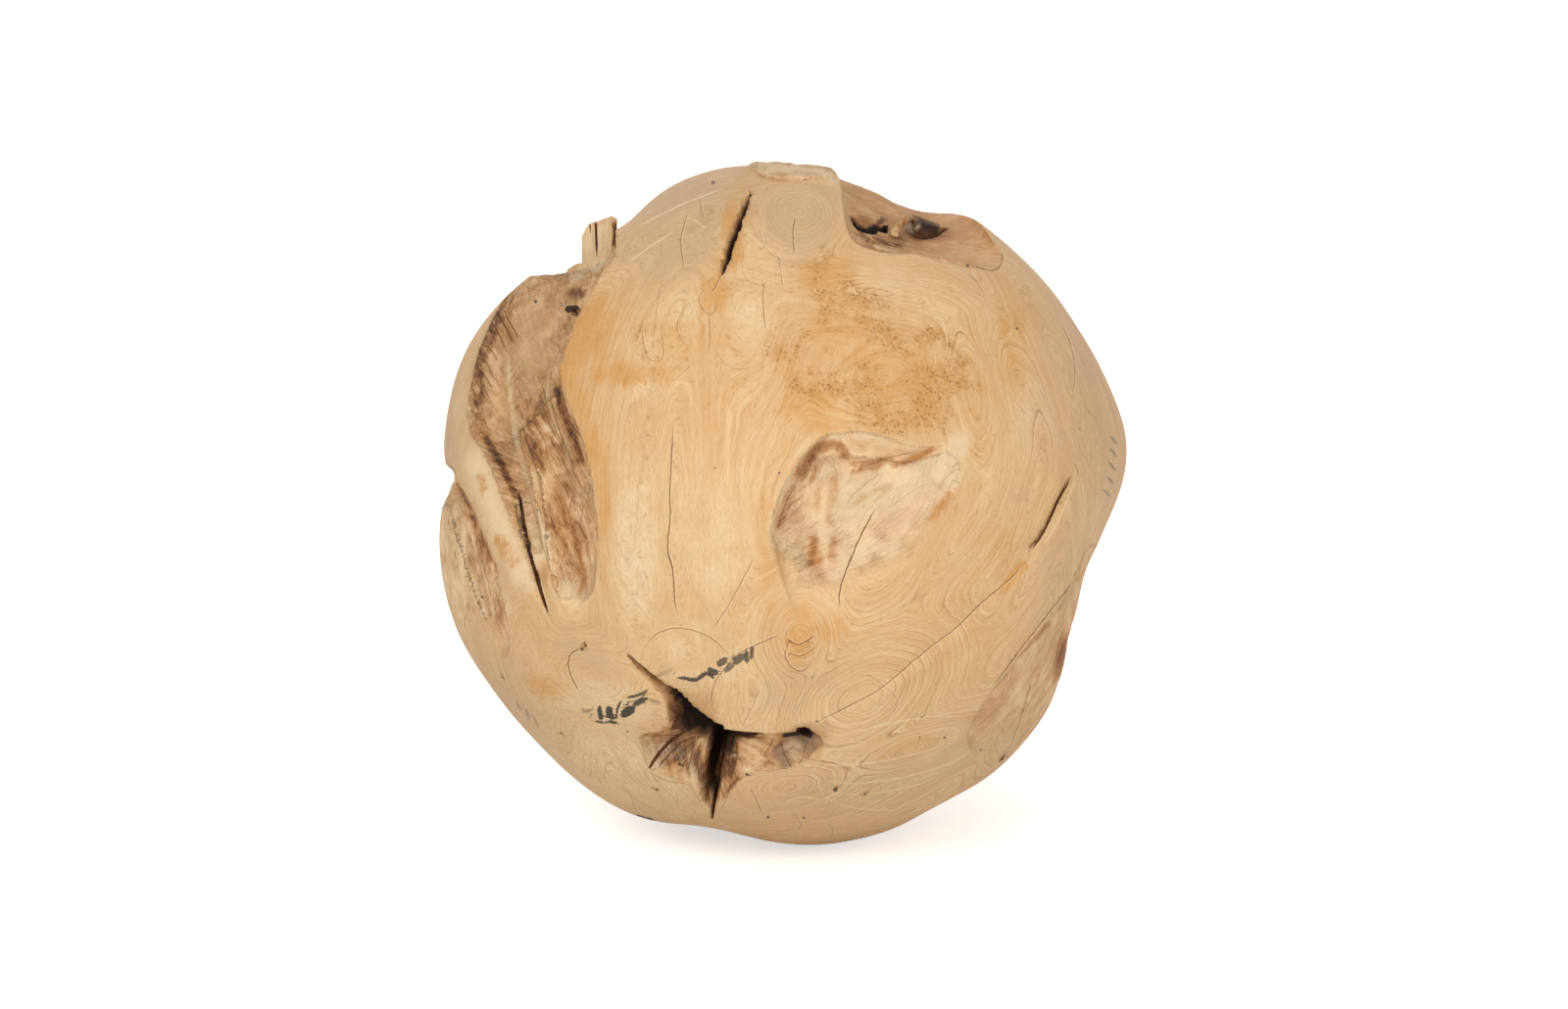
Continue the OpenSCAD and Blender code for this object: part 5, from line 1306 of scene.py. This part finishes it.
def lineField(lines, spec):  # at each point its nearest line's signed distance, half width, darkness
    field = np.zeros((count, 3))
    field[:, 0] = 50  # far from any line
    for half, strength, places in lines:
        wide = half * spec["grow"]
        near, signed, ends = fromPath(places, wide + spec["reach"])
        taper = np.clip(ends * 7, 0, 1) ** spec["taper"]
        gate = np.clip((wide + spec["edge"] - np.abs(signed)) / spec["fade"], 0, 1)
        width = spec["width"] * half * taper * gate
        closer = np.abs(signed) < np.abs(field[near, 0])
        rows = np.stack([signed, width, np.full(len(near), strength)], -1)
        field[near[closer]] = rows[closer]
    return field


lineFields = {name: lineField(lines, hairStroke) for name, lines in hairlines.items()}
lineFields.update({name: lineField(lines, inkStroke) for name, lines in inkStrokes.items()})

# pinholes and dark specks: x, z and radius in mm
specks = [
    (-58.6, -42, 1.1), (-82, -50.3, 0.6), (-64.9, -66.6, 0.6), (-45.4, -66, 0.6),
    (-36.9, -82.9, 0.8), (14.9, -82.9, 1.5), (23.4, -84.3, 0.7), (-4.6, -90.9, 1.0),
    (5.7, -91.1, 0.8), (40, -61.7, 0.6), (39.4, -67.7, 0.6), (46.6, -67.7, 0.8), (57.1, -71.4, 0.6),
    (-10.3, -78.6, 0.8), (-20, 10.6, 0.6), (-1.4, 9.1, 0.8), (-39.4, 20, 0.5), (-29.4, -76, 0.7),
    (67.7, 51.1, 0.8), (53.4, 69.4, 1.1), (-87.7, -26.9, 0.9), (-72.3, 59.1, 1.2),
    (-30.3, -75.4, 1.0), (-10.9, -78.3, 0.9), (-20.6, 93.7, 1.2), (-92.3, -20.9, 0.5),
    (9.4, -62.9, 0.7),
]
speck = np.zeros((count, 3))
speckReach, speckFade = 6.0, 1.5
nearest = np.full(count, speckReach)
for x, z, size in specks:
    gap = points[:, [0, 2]] - np.array([x, z]) * radius / 100
    distance = np.linalg.norm(gap, axis=1)
    chosen = (distance < nearest) & (points[:, 1] < 25)
    nearest[chosen] = distance[chosen]
    gate = np.clip((speckReach - speckFade - distance[chosen]) / speckFade, 0, 1)
    speck[chosen] = np.stack([gap[chosen, 0], gap[chosen, 1], 0.75 * size * gate], -1)

attributes = {
    "rings": (phase, ringStrength, spotField(burlSpots)),
    "grain": (across, along, rough),
    "tintAndHighlight": (warmth, palenessAndHighlight, spotField(greySpots)),
    "rustAndShade": (brownAndShade, pink, shade), "wear": (hatch, rusts, footward), "speck": tuple(speck.T),
}
attributes.update({name: tuple(field.T) for name, field in lineFields.items()})
for name, values in attributes.items():
    layer = mesh.attributes.new(name, "FLOAT_VECTOR", "POINT")
    layer.data.foreach_set("vector", np.stack(values, -1).astype(np.float32).ravel())
points = toWorld(points) / 1000
points[:, 2] = np.maximum(points[:, 2], 0)
mesh.vertices.foreach_set("co", points.ravel())
mesh.shade_smooth()
mesh.set_sharp_from_angle(angle=math.radians(ball["sharp"]))
mesh.update()
print("grain and marks done")


def srgb(code):  # colour written as sRGB hex to the linear values that the shader takes
    shares = [int(code[i:i + 2], 16) / 255 for i in (1, 3, 5)]
    return tuple(c / 12.92 if c <= 0.04045 else ((c + 0.055) / 1.055) ** 2.4 for c in shares) + (1.0,)


# Old teak root: honey-coloured fibres and thin dark ring lines give the sanded skin its figure, and
# the torn hollows are rusty and dull because broken fibres hold dirt and scatter the light; deep in
# them, in the mouth and in the cracks the colour is also painted shade. Sizes along and across.
# Single fibres and pores are too fine to show, so fibres are drawn as bundles 1.1 mm wide and pores
# 0.3 mm wide.
teak = {
    "ring": 2.6, "wander": (16.67, 2.8), "shiver": (2.857, 0.6),  # waves in a ring: length, height
    "breath": (7.692, 4.0), "year": 2.703, "ringFade": 22.22,  # uneven spacing, faint years, gaps
    "fibre": (28.57, 1.111), "pore": (3.333, 0.3125), "toneBand": (83.33, 6.25),
    "cloud": 55.56, "blotch": 14.29, "burl": 2.0, "burlDot": 2.128,
    "streak": (18.18, 3.333), "fineStreak": (7.143, 0.7692), "warp": 11.11,
    "tornEdge": 2.0, "ink": 0.8333, "dark": (15.0, 27.0),  # painted shade darkens a hollow between these depths
    "ringCut": 0.08, "poreCut": 0.03, "tornRise": 0.8, "fineRise": 0.25, "lineCut": 0.03,
}
material = bpy.data.materials.new("teakRoot")
material.use_nodes = True
nodes, links = material.node_tree.nodes, material.node_tree.links
shader = nodes["Principled BSDF"]


def add(kind, inputs=None, out=0, **settings):  # a node with its links, values and settings
    node = nodes.new("ShaderNode" + kind)
    for key, value in settings.items():
        setattr(node, key, value)
    for key, value in (inputs or {}).items():
        if isinstance(value, bpy.types.NodeSocket):
            links.new(value, node.inputs[key])
        else:
            node.inputs[key].default_value = value
    return node.outputs if out is None else node.outputs[out]


def stored(name):  # the three numbers stored at each point
    vector = add("Attribute", out=1, attribute_name=name)
    return add("SeparateXYZ", {0: vector}, out=None)


ringPhase, ringShare, burlShare = stored("rings")
acrossGrain, alongGrain, tornGrain = stored("grain")
warmShare, paleAndHighlightShare, greyShare = stored("tintAndHighlight")
brownAndShadeShare, pinkShare, shadeHere = stored("rustAndShade")
streakShare, orangeShare, lowShare = stored("wear")
speckRight, speckUp, speckRadius = stored("speck")
metres = add("TexCoord", out=3)
place = add("VectorMath", {0: metres, 3: 1000.0}, operation="SCALE")  # in mm

# growth rings: their phase wanders a little and their spacing is uneven
wander = add("TexNoise", {0: place, 2: 1 / teak["wander"][0], 3: 2.0})
shiver = add("TexNoise", {0: place, 2: 1 / teak["shiver"][0], 3: 2.0})
wandering = add("Math", {0: wander, 1: teak["wander"][1], 2: ringPhase}, operation="MULTIPLY_ADD")
phaseHere = add("Math", {0: shiver, 1: teak["shiver"][1], 2: wandering}, operation="MULTIPLY_ADD")
breath = add("TexNoise", {1: phaseHere, 2: 1 / teak["breath"][0], 3: 1.0}, noise_dimensions="1D")
uneven = add("Math", {0: breath, 1: teak["breath"][1], 2: phaseHere}, operation="MULTIPLY_ADD")
ringCount = add("Math", {0: uneven, 1: teak["ring"]}, operation="DIVIDE")
saw = add("Math", {0: ringCount}, operation="FRACT")
# a ring darkens towards its late wood, ends sharply, and the next one starts pale
late = add("MapRange", {0: saw, 1: 0.74, 2: 0.9}, interpolation_type="SMOOTHSTEP")
early = add("MapRange", {0: saw, 1: 1.0, 2: 0.9})
paleLine = add("MapRange", {0: saw, 1: 0.22, 2: 0.0})
lateLine = add("Math", {0: late, 1: early}, operation="MULTIPLY")
yearly = add("TexNoise", {1: uneven, 2: 1 / teak["year"], 3: 1.0}, noise_dimensions="1D")
yearShare = add("MapRange", {0: yearly, 1: 0.3, 2: 0.65, 3: 0.3})
ringLine = add("Math", {0: lateLine, 1: yearShare}, operation="MULTIPLY")
ringFade = add("TexNoise", {0: place, 2: 1 / teak["ringFade"], 3: 2.0})
ringFadeShare = add("MapRange", {0: ringFade, 1: 0.36, 2: 0.62, 3: 0.4, 4: 1.0})
ringHere = add("Math", {0: ringShare, 1: ringFadeShare}, operation="MULTIPLY")
ringMark = add("Math", {0: ringLine, 1: ringHere}, operation="MULTIPLY")

# fibres, pores and broad tone bands all run along the rings
alongRings = {}
for name, detail, roughness in (("fibre", 3.0, 0.6), ("pore", 1.0, 0.5), ("toneBand", 3.0, 0.65)):
    length, width = teak[name]
    spot = add("VectorMath", {0: place, 3: 1 / length}, operation="SCALE")
    layer = add("Math", {0: phaseHere, 1: 1 / width}, operation="MULTIPLY")
    alongRings[name] = add("TexNoise", {0: spot, 1: layer, 2: 1.0, 3: detail, 4: roughness},
                           noise_dimensions="4D")
fibre, pore, toneBand = alongRings.values()
poreMark = add("MapRange", {0: pore, 1: 0.62, 2: 0.74})
cloud = add("TexNoise", {0: place, 2: 1 / teak["cloud"], 3: 4.0, 4: 0.55})
blotch = add("TexNoise", {0: place, 2: 1 / teak["blotch"], 3: 5.0, 4: 0.62})
broken = add("Math", {0: blotch, 1: 1.3, 2: -0.65}, operation="MULTIPLY_ADD")
broken = add("Math", {0: broken, 1: -0.55}, operation="ADD")
broken = add("Math", {0: fibre, 1: 1.1, 2: broken}, operation="MULTIPLY_ADD")


def tintShare(amount, low, high, top):  # a soft spot's edge broken up along the fibres
    ragged = add("Math", {0: amount, 1: broken}, operation="ADD")
    return add("MapRange", {0: ragged, 1: low, 2: high, 3: 0.0, 4: top},
               interpolation_type="SMOOTHSTEP")


# burl: a brown glow with dark eyes in it
burlNoise = add("TexNoise", {0: place, 2: 1 / teak["burl"], 3: 3.0, 4: 0.6})
burlPatch = add("MapRange", {0: blotch, 1: 0.44, 2: 0.58, 3: 0.15})
burlHere = add("Math", {0: tintShare(burlShare, 0.15, 0.7, 1.0), 1: burlPatch},
               operation="MULTIPLY")
burlCell = add("TexVoronoi", {0: place, 2: 1 / teak["burlDot"], 8: 1.0})
burlDot = add("Math", {0: burlNoise, 1: 0.7, 2: burlCell}, operation="MULTIPLY_ADD")
burlGlow, burlEye = (
    add("Math", {0: share, 1: burlHere}, operation="MULTIPLY")
    for share in (add("MapRange", {0: burlNoise, 1: 0.36, 2: 0.56, 4: 0.8}),
                  add("MapRange", {0: burlDot, 1: 0.75, 2: 0.55, 4: 0.8})))
paleHere = add("Math", {0: paleLine, 1: ringHere}, operation="MULTIPLY")

# sanded skin: each colour is laid over the ones before it
sanded = add("Mix", {0: add("MapRange", {0: cloud, 1: 0.3, 2: 0.7}),
                     6: srgb("#e1bb88"), 7: srgb("#eecd9c")}, out=2, data_type="RGBA")
sandedLayers = [
    (add("Math", {0: lowShare, 1: 0.55}, operation="MULTIPLY"), "#dec59c"),
    (add("MapRange", {0: toneBand, 1: 0.42, 2: 0.7, 4: 0.42}), "#cd9a68"),
    (add("MapRange", {0: fibre, 1: 0.3, 2: 0.72, 4: 0.6}), "#cf9c64"),
    (tintShare(greyShare, 0.1, 0.8, 0.7), "#c9ad87"),
    (tintShare(paleAndHighlightShare, 0.1, 0.8, 0.75), "#f1d6ab"),
    (tintShare(warmShare, 0.1, 0.95, 0.8), "#d69b50"),
    (burlGlow, "#c18c4a"), (burlEye, "#86562a"),
    (add("Math", {0: paleHere, 1: 0.5}, operation="MULTIPLY"), "#f3dcb4"),
    (add("Math", {0: ringMark, 1: 0.92}, operation="MULTIPLY"), "#a06c36"),
    (add("MapRange", {0: pore, 1: 0.35, 2: 0.72, 4: 0.3}), "#c08d55"),
    (add("Math", {0: poreMark, 1: 0.28}, operation="MULTIPLY"), "#8a6238"),
]
for share, code in sandedLayers:
    sanded = add("Mix", {0: share, 6: sanded, 7: srgb(code)}, out=2, data_type="RGBA")

# torn grain: streaks along it, from the light fibres to rusty and dark ones; the darker browns
# also carry painted shade, and the deepest places are painted near black as shade
tornWarp = add("TexNoise", {0: place, 2: 1 / teak["warp"], 3: 2.0}, out=1)
tornNoises = []
for name, amount, detail, roughness in (("streak", (1.6, 1.6, 1.6), 5.0, 0.65),
                                        ("fineStreak", (3.0, 1.0, 1.0), 3.0, 0.6)):
    length, width = teak[name]
    spot = add("CombineXYZ", {
        0: add("Math", {0: acrossGrain, 1: 1 / width}, operation="MULTIPLY"),
        1: add("Math", {0: alongGrain, 1: 1 / length}, operation="MULTIPLY"), 2: pinkShare})
    spot = add("VectorMath", {0: tornWarp, 1: amount, 2: spot}, operation="MULTIPLY_ADD")
    tornNoises.append(add("TexNoise", {0: spot, 2: 1.0, 3: detail, 4: roughness}))
streak, fineStreak = tornNoises
# each noise swings the stain and the painted shade about their own brown, and more where the
# grain is streaked
patchy = add("MapRange", {0: blotch, 1: 0.4, 2: 0.6, 3: 0.2, 4: 2.2})
mottle, coarse, fine = (
    add("Math", {0: add("Math", {0: pattern, 1: 0.5}, operation="SUBTRACT"),
                 1: amount}, operation="MULTIPLY")
    for pattern, amount in (
        (blotch, add("MapRange", {0: streakShare, 3: 0.7, 4: 1.5})),
        (streak, add("MapRange", {0: streakShare, 3: 0.35, 4: 2.2})),
        (fineStreak, add("Math", {0: patchy, 1: streakShare}, operation="MULTIPLY"))))
streaks = add("Math", {0: coarse, 1: fine}, operation="ADD")
stainAndShade = add("Math", {0: brownAndShadeShare, 1: mottle}, operation="ADD")
stainAndShade = add("Math", {0: stainAndShade, 1: streaks}, operation="ADD")
darkFrom, darkTo = teak["dark"]
tornLayers = [
    (add("MapRange", {0: stainAndShade, 1: -0.05, 2: 0.4}), "#d3a574"),
    (add("MapRange", {0: stainAndShade, 1: 0.35, 2: 0.7}), "#b07d4e"),
    (add("MapRange", {0: stainAndShade, 1: 0.65, 2: 0.95}), "#805333"),
    (add("MapRange", {0: stainAndShade, 1: 0.95, 2: 1.3}), "#4a2e1b"),
    (tintShare(pinkShare, 0.2, 1.1, 0.4), "#dba27c"),
    (tintShare(greyShare, 0.1, 0.9, 0.55), "#b89a78"),
    (tintShare(paleAndHighlightShare, 0.1, 0.8, 0.85), "#edd2a9"),
    # painted shade: deep hollows, the mouth and the cracks are painted near black
    (add("MapRange", {0: shadeHere, 1: darkFrom, 2: darkTo, 4: 0.97},
         interpolation_type="SMOOTHSTEP"), "#2a1a10"),
]
tornWood = srgb("#efcfa3")
for share, code in tornLayers:
    tornWood = add("Mix", {0: share, 6: tornWood, 7: srgb(code)}, out=2, data_type="RGBA")

edgeNoise = add("TexNoise", {0: place, 2: 1 / teak["tornEdge"], 3: 4.0, 4: 0.7})
tornEdge = add("Math", {0: tornGrain, 1: -0.15}, operation="ADD")
tornEdge = add("Math", {0: edgeNoise, 1: 0.8, 2: tornEdge}, operation="MULTIPLY_ADD")
tornShare = add("MapRange", {0: tornEdge, 1: 0.46, 2: 1.0}, interpolation_type="SMOOTHSTEP")
colour = add("Mix", {0: tornShare, 6: sanded, 7: tornWood}, out=2, data_type="RGBA")

# rust that has spread onto the sanded skin, with the painted shade that the brown field carries,
# a fringe along torn edges, and orange stains
unbroken = add("Math", {0: 1.0, 1: tornShare}, operation="SUBTRACT")
halfTorn = add("Math", {0: tornShare, 1: 0.5}, operation="SUBTRACT")
halfTorn = add("Math", {0: halfTorn}, operation="ABSOLUTE")
fringeTop = add("Math", {0: streakShare, 1: 0.5}, operation="MULTIPLY")
rustBroken = add("Math", {0: blotch, 1: burlNoise}, operation="ADD")
rustBroken = add("MapRange", {0: rustBroken, 1: 0.82, 2: 1.12, 3: 0.25})
edgeLayers = [
    (add("Math", {0: tintShare(brownAndShadeShare, 0.3, 1.0, 0.45), 1: unbroken},
         operation="MULTIPLY"), "#a8743f"),
    (add("MapRange", {0: halfTorn, 1: 0.5, 2: 0.1, 4: fringeTop}), "#c08a52"),
    (add("Math", {0: tintShare(orangeShare, 0.1, 1.1, 0.85), 1: rustBroken},
         operation="MULTIPLY"), "#ca8637"),
]
for share, code in edgeLayers:
    colour = add("Mix", {0: share, 6: colour, 7: srgb(code)}, out=2, data_type="RGBA")

# hairlines, with a painted highlight on the raised edge that sanding leaves beside them
offset = add("Math", {0: shiver, 1: 0.9, 2: -0.45}, operation="MULTIPLY_ADD")
lineDepth = None
for name in hairlines:
    lineGap, lineHalf, darkness = stored(name)
    moved = add("Math", {0: lineGap, 1: offset}, operation="ADD")
    within = add("Math", {0: moved}, operation="ABSOLUTE")
    within = add("Math", {0: lineHalf, 1: within}, operation="SUBTRACT")
    core = add("MapRange", {0: within, 1: -0.12, 2: 0.12})
    present = add("MapRange", {0: lineHalf, 1: 0.02, 2: 0.2})
    core = add("Math", {0: core, 1: present}, operation="MULTIPLY")
    edgeGap = add("Math", {0: moved, 1: lineHalf}, operation="SUBTRACT")
    edgeGap = add("Math", {0: edgeGap, 1: 0.45}, operation="SUBTRACT")
    edgeGap = add("Math", {0: edgeGap}, operation="ABSOLUTE")
    pale = add("MapRange", {0: edgeGap, 1: 0.4, 2: 0.0})
    for share in (present, add("MapRange", {0: darkness, 3: 0.15, 4: 0.5}),
                  add("MapRange", {0: tornShare, 3: 1.0, 4: 0.0})):
        pale = add("Math", {0: pale, 1: share}, operation="MULTIPLY")
    # the pale edge beside a dark line is a painted highlight on its raised lip, and a line whose
    # darkness is below zero is a painted highlight on raised grain
    raised, dark, black = (
        add("Math", {0: core, 1: amount}, operation="MULTIPLY")
        for amount in (add("MapRange", {0: darkness, 2: -1.0}),
                       add("MapRange", {0: darkness}),
                       add("MapRange", {0: darkness, 1: 1.0, 2: 2.0})))
    for share, code in ((pale, "#f0d6ae"), (raised, "#f6e2bf"), (dark, "#6e3d14"), (black, "#1d120b")):
        colour = add("Mix", {0: share, 6: colour, 7: srgb(code)}, out=2, data_type="RGBA")
    lineDepth = dark if lineDepth is None else add(
        "Math", {0: lineDepth, 1: dark}, operation="MAXIMUM")

# blue-black stains and specks
inkRough = add("TexNoise", {0: place, 2: 1 / teak["ink"], 3: 3.0, 4: 0.75})
markLayers = []
for name in inkStrokes:
    inkGap, inkHalf, darkness = stored(name)
    within = add("Math", {0: inkGap}, operation="ABSOLUTE")
    within = add("Math", {0: inkHalf, 1: within}, operation="SUBTRACT")
    within = add("Math", {0: within, 1: -1.15}, operation="ADD")
    ragged = add("Math", {0: inkRough, 1: 2.4, 2: within}, operation="MULTIPLY_ADD")
    stained = add("Math", {0: add("MapRange", {0: ragged, 1: -0.1, 2: 0.35}),
                           1: add("MapRange", {0: inkHalf, 1: 0.1, 2: 0.35})},
                  operation="MULTIPLY")
    stained = add("Math", {0: stained, 1: darkness}, operation="MULTIPLY")
    markLayers.append((stained, "#453d30"))
speckGap = add("CombineXYZ", {0: speckRight, 1: speckUp})
speckGap = add("VectorMath", {0: speckGap}, out=1, operation="LENGTH")
speckBody = add("Math", {0: speckRadius, 1: speckGap}, operation="SUBTRACT")
speckMark = add("Math", {
    0: add("MapRange", {0: speckBody, 1: -0.2, 2: 0.2}),
    1: add("MapRange", {0: speckRadius, 1: 0.05, 2: 0.3, 4: 0.85})}, operation="MULTIPLY")
markLayers.append((speckMark, "#3c2818"))
for share, code in markLayers:
    colour = add("Mix", {0: share, 6: colour, 7: srgb(code)}, out=2, data_type="RGBA")

# relief: rings and pores on the sanded skin, torn fibres in the hollows, and cuts at the lines
poreCut = add("Math", {0: poreMark, 1: -teak["poreCut"]}, operation="MULTIPLY")
skinHeight = add("Math", {0: ringMark, 1: -teak["ringCut"], 2: poreCut}, operation="MULTIPLY_ADD")
fineRise = add("Math", {0: fineStreak, 1: -teak["fineRise"]}, operation="MULTIPLY")
tornHeight = add("Math", {0: streaks, 1: -teak["tornRise"], 2: fineRise}, operation="MULTIPLY_ADD")
relief = add("Mix", {0: tornShare, 2: skinHeight, 3: tornHeight}, data_type="FLOAT")
cut = add("Math", {0: lineDepth, 1: speckMark}, operation="MAXIMUM")
relief = add("Math", {0: cut, 1: -teak["lineCut"], 2: relief}, operation="MULTIPLY_ADD")
bump = add("Bump", {0: 1.0, 1: 0.001, "Height": relief})  # relief is in mm
polish = add("MapRange", {0: fibre, 3: 0.5, 4: 0.62})
roughness = add("Mix", {0: tornShare, 2: polish, 3: 0.85}, data_type="FLOAT")
for key, value in (("Base Color", colour), ("Normal", bump), ("Roughness", roughness)):
    links.new(value, shader.inputs[key])
shader.inputs["IOR"].default_value = 1.5
shader.inputs["Specular IOR Level"].default_value = 0.35

mesh.materials.clear()
mesh.materials.append(material)
for placeholder in placeholders:
    bpy.data.materials.remove(placeholder)
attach(wood, "root")
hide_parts("root_ball")
print("wood done")

# matt white paper with no texture that would show, so that only the ball's shadow marks the floor
sheet = {"size": 14.0, "colour": "#fbfbfa", "roughness": 0.9, "glow": 0.6}
edge = sheet["size"] / 2
floorMesh = bpy.data.meshes.new("floor")
floorMesh.from_pydata([(-edge, -edge, 0), (edge, -edge, 0), (edge, edge, 0), (-edge, edge, 0)],
                      [], [(0, 1, 2, 3)])
floor = bpy.data.objects.new("floor", floorMesh)
bpy.context.scene.collection.objects.link(floor)
paper = bpy.data.materials.new("whitePaper")
paper.use_nodes = True
nodes, links = paper.node_tree.nodes, paper.node_tree.links
shader = nodes["Principled BSDF"]
shader.inputs["Base Color"].default_value = srgb(sheet["colour"])
shader.inputs["Roughness"].default_value = sheet["roughness"]
shader.inputs["Emission Color"].default_value = (1, 1, 1, 1)
seenGlow = add("MapRange", {0: add("LightPath", out=0), 3: 0.0, 4: sheet["glow"]})
links.new(seenGlow, shader.inputs["Emission Strength"])
floorMesh.materials.append(paper)

studio = {
    "skyLight": 0.445,  # white all round, and dimmer as a light than it is seen
    "lamps": [  # name, place in m, size in m, power in W
        ("key", (-1.5, -3.2, 2.4), 1.8, 68.0),
        ("fill", (2.4, -3.0, 1.2), 2.0, 34.0),
        ("top", (0.3, 0.4, 3.0), 2.0, 10.0),
    ],
    "distance": 24.0, "elevation": 15.0, "lens": 1080.0, "sensor": 36.0, "reach": 60.0,
}
world = bpy.data.worlds.new("studio")
bpy.context.scene.world = world
world.use_nodes = True
nodes, links = world.node_tree.nodes, world.node_tree.links
background = nodes["Background"]
background.inputs[0].default_value = (1, 1, 1, 1)
ray = add("LightPath", out=None)
direct = add("Math", {0: ray["Is Camera Ray"], 1: ray["Is Glossy Ray"]}, operation="MAXIMUM")
direct = add("Math", {0: direct, 1: ray["Is Transmission Ray"]}, operation="MAXIMUM")
strength = add("MapRange", {0: direct, 3: studio["skyLight"], 4: 1.0})
links.new(strength, background.inputs[1])

aim = Vector((0, 0, restHeight / 1000))
for name, location, size, power in studio["lamps"]:
    lamp = bpy.data.lights.new(name, "AREA")
    lamp.size, lamp.energy = size, power
    piece = bpy.data.objects.new(name, lamp)
    piece.location = location
    piece.rotation_euler = (Vector(location) - aim).to_track_quat("Z", "Y").to_euler()
    bpy.context.scene.collection.objects.link(piece)

camera = bpy.data.cameras.new("camera")
camera.lens, camera.sensor_width, camera.clip_end = studio["lens"], studio["sensor"], studio["reach"]
cameraPiece = bpy.data.objects.new("camera", camera)
elevation = math.radians(studio["elevation"])
cameraPiece.location = aim + Vector((0, -math.cos(elevation), math.sin(elevation))) * studio["distance"]
cameraPiece.rotation_euler = (math.pi / 2 - elevation, 0, 0)
bpy.context.scene.collection.objects.link(cameraPiece)
bpy.context.scene.camera = cameraPiece
bpy.context.scene.view_settings.view_transform = "Standard"
print("floor, light and camera done")
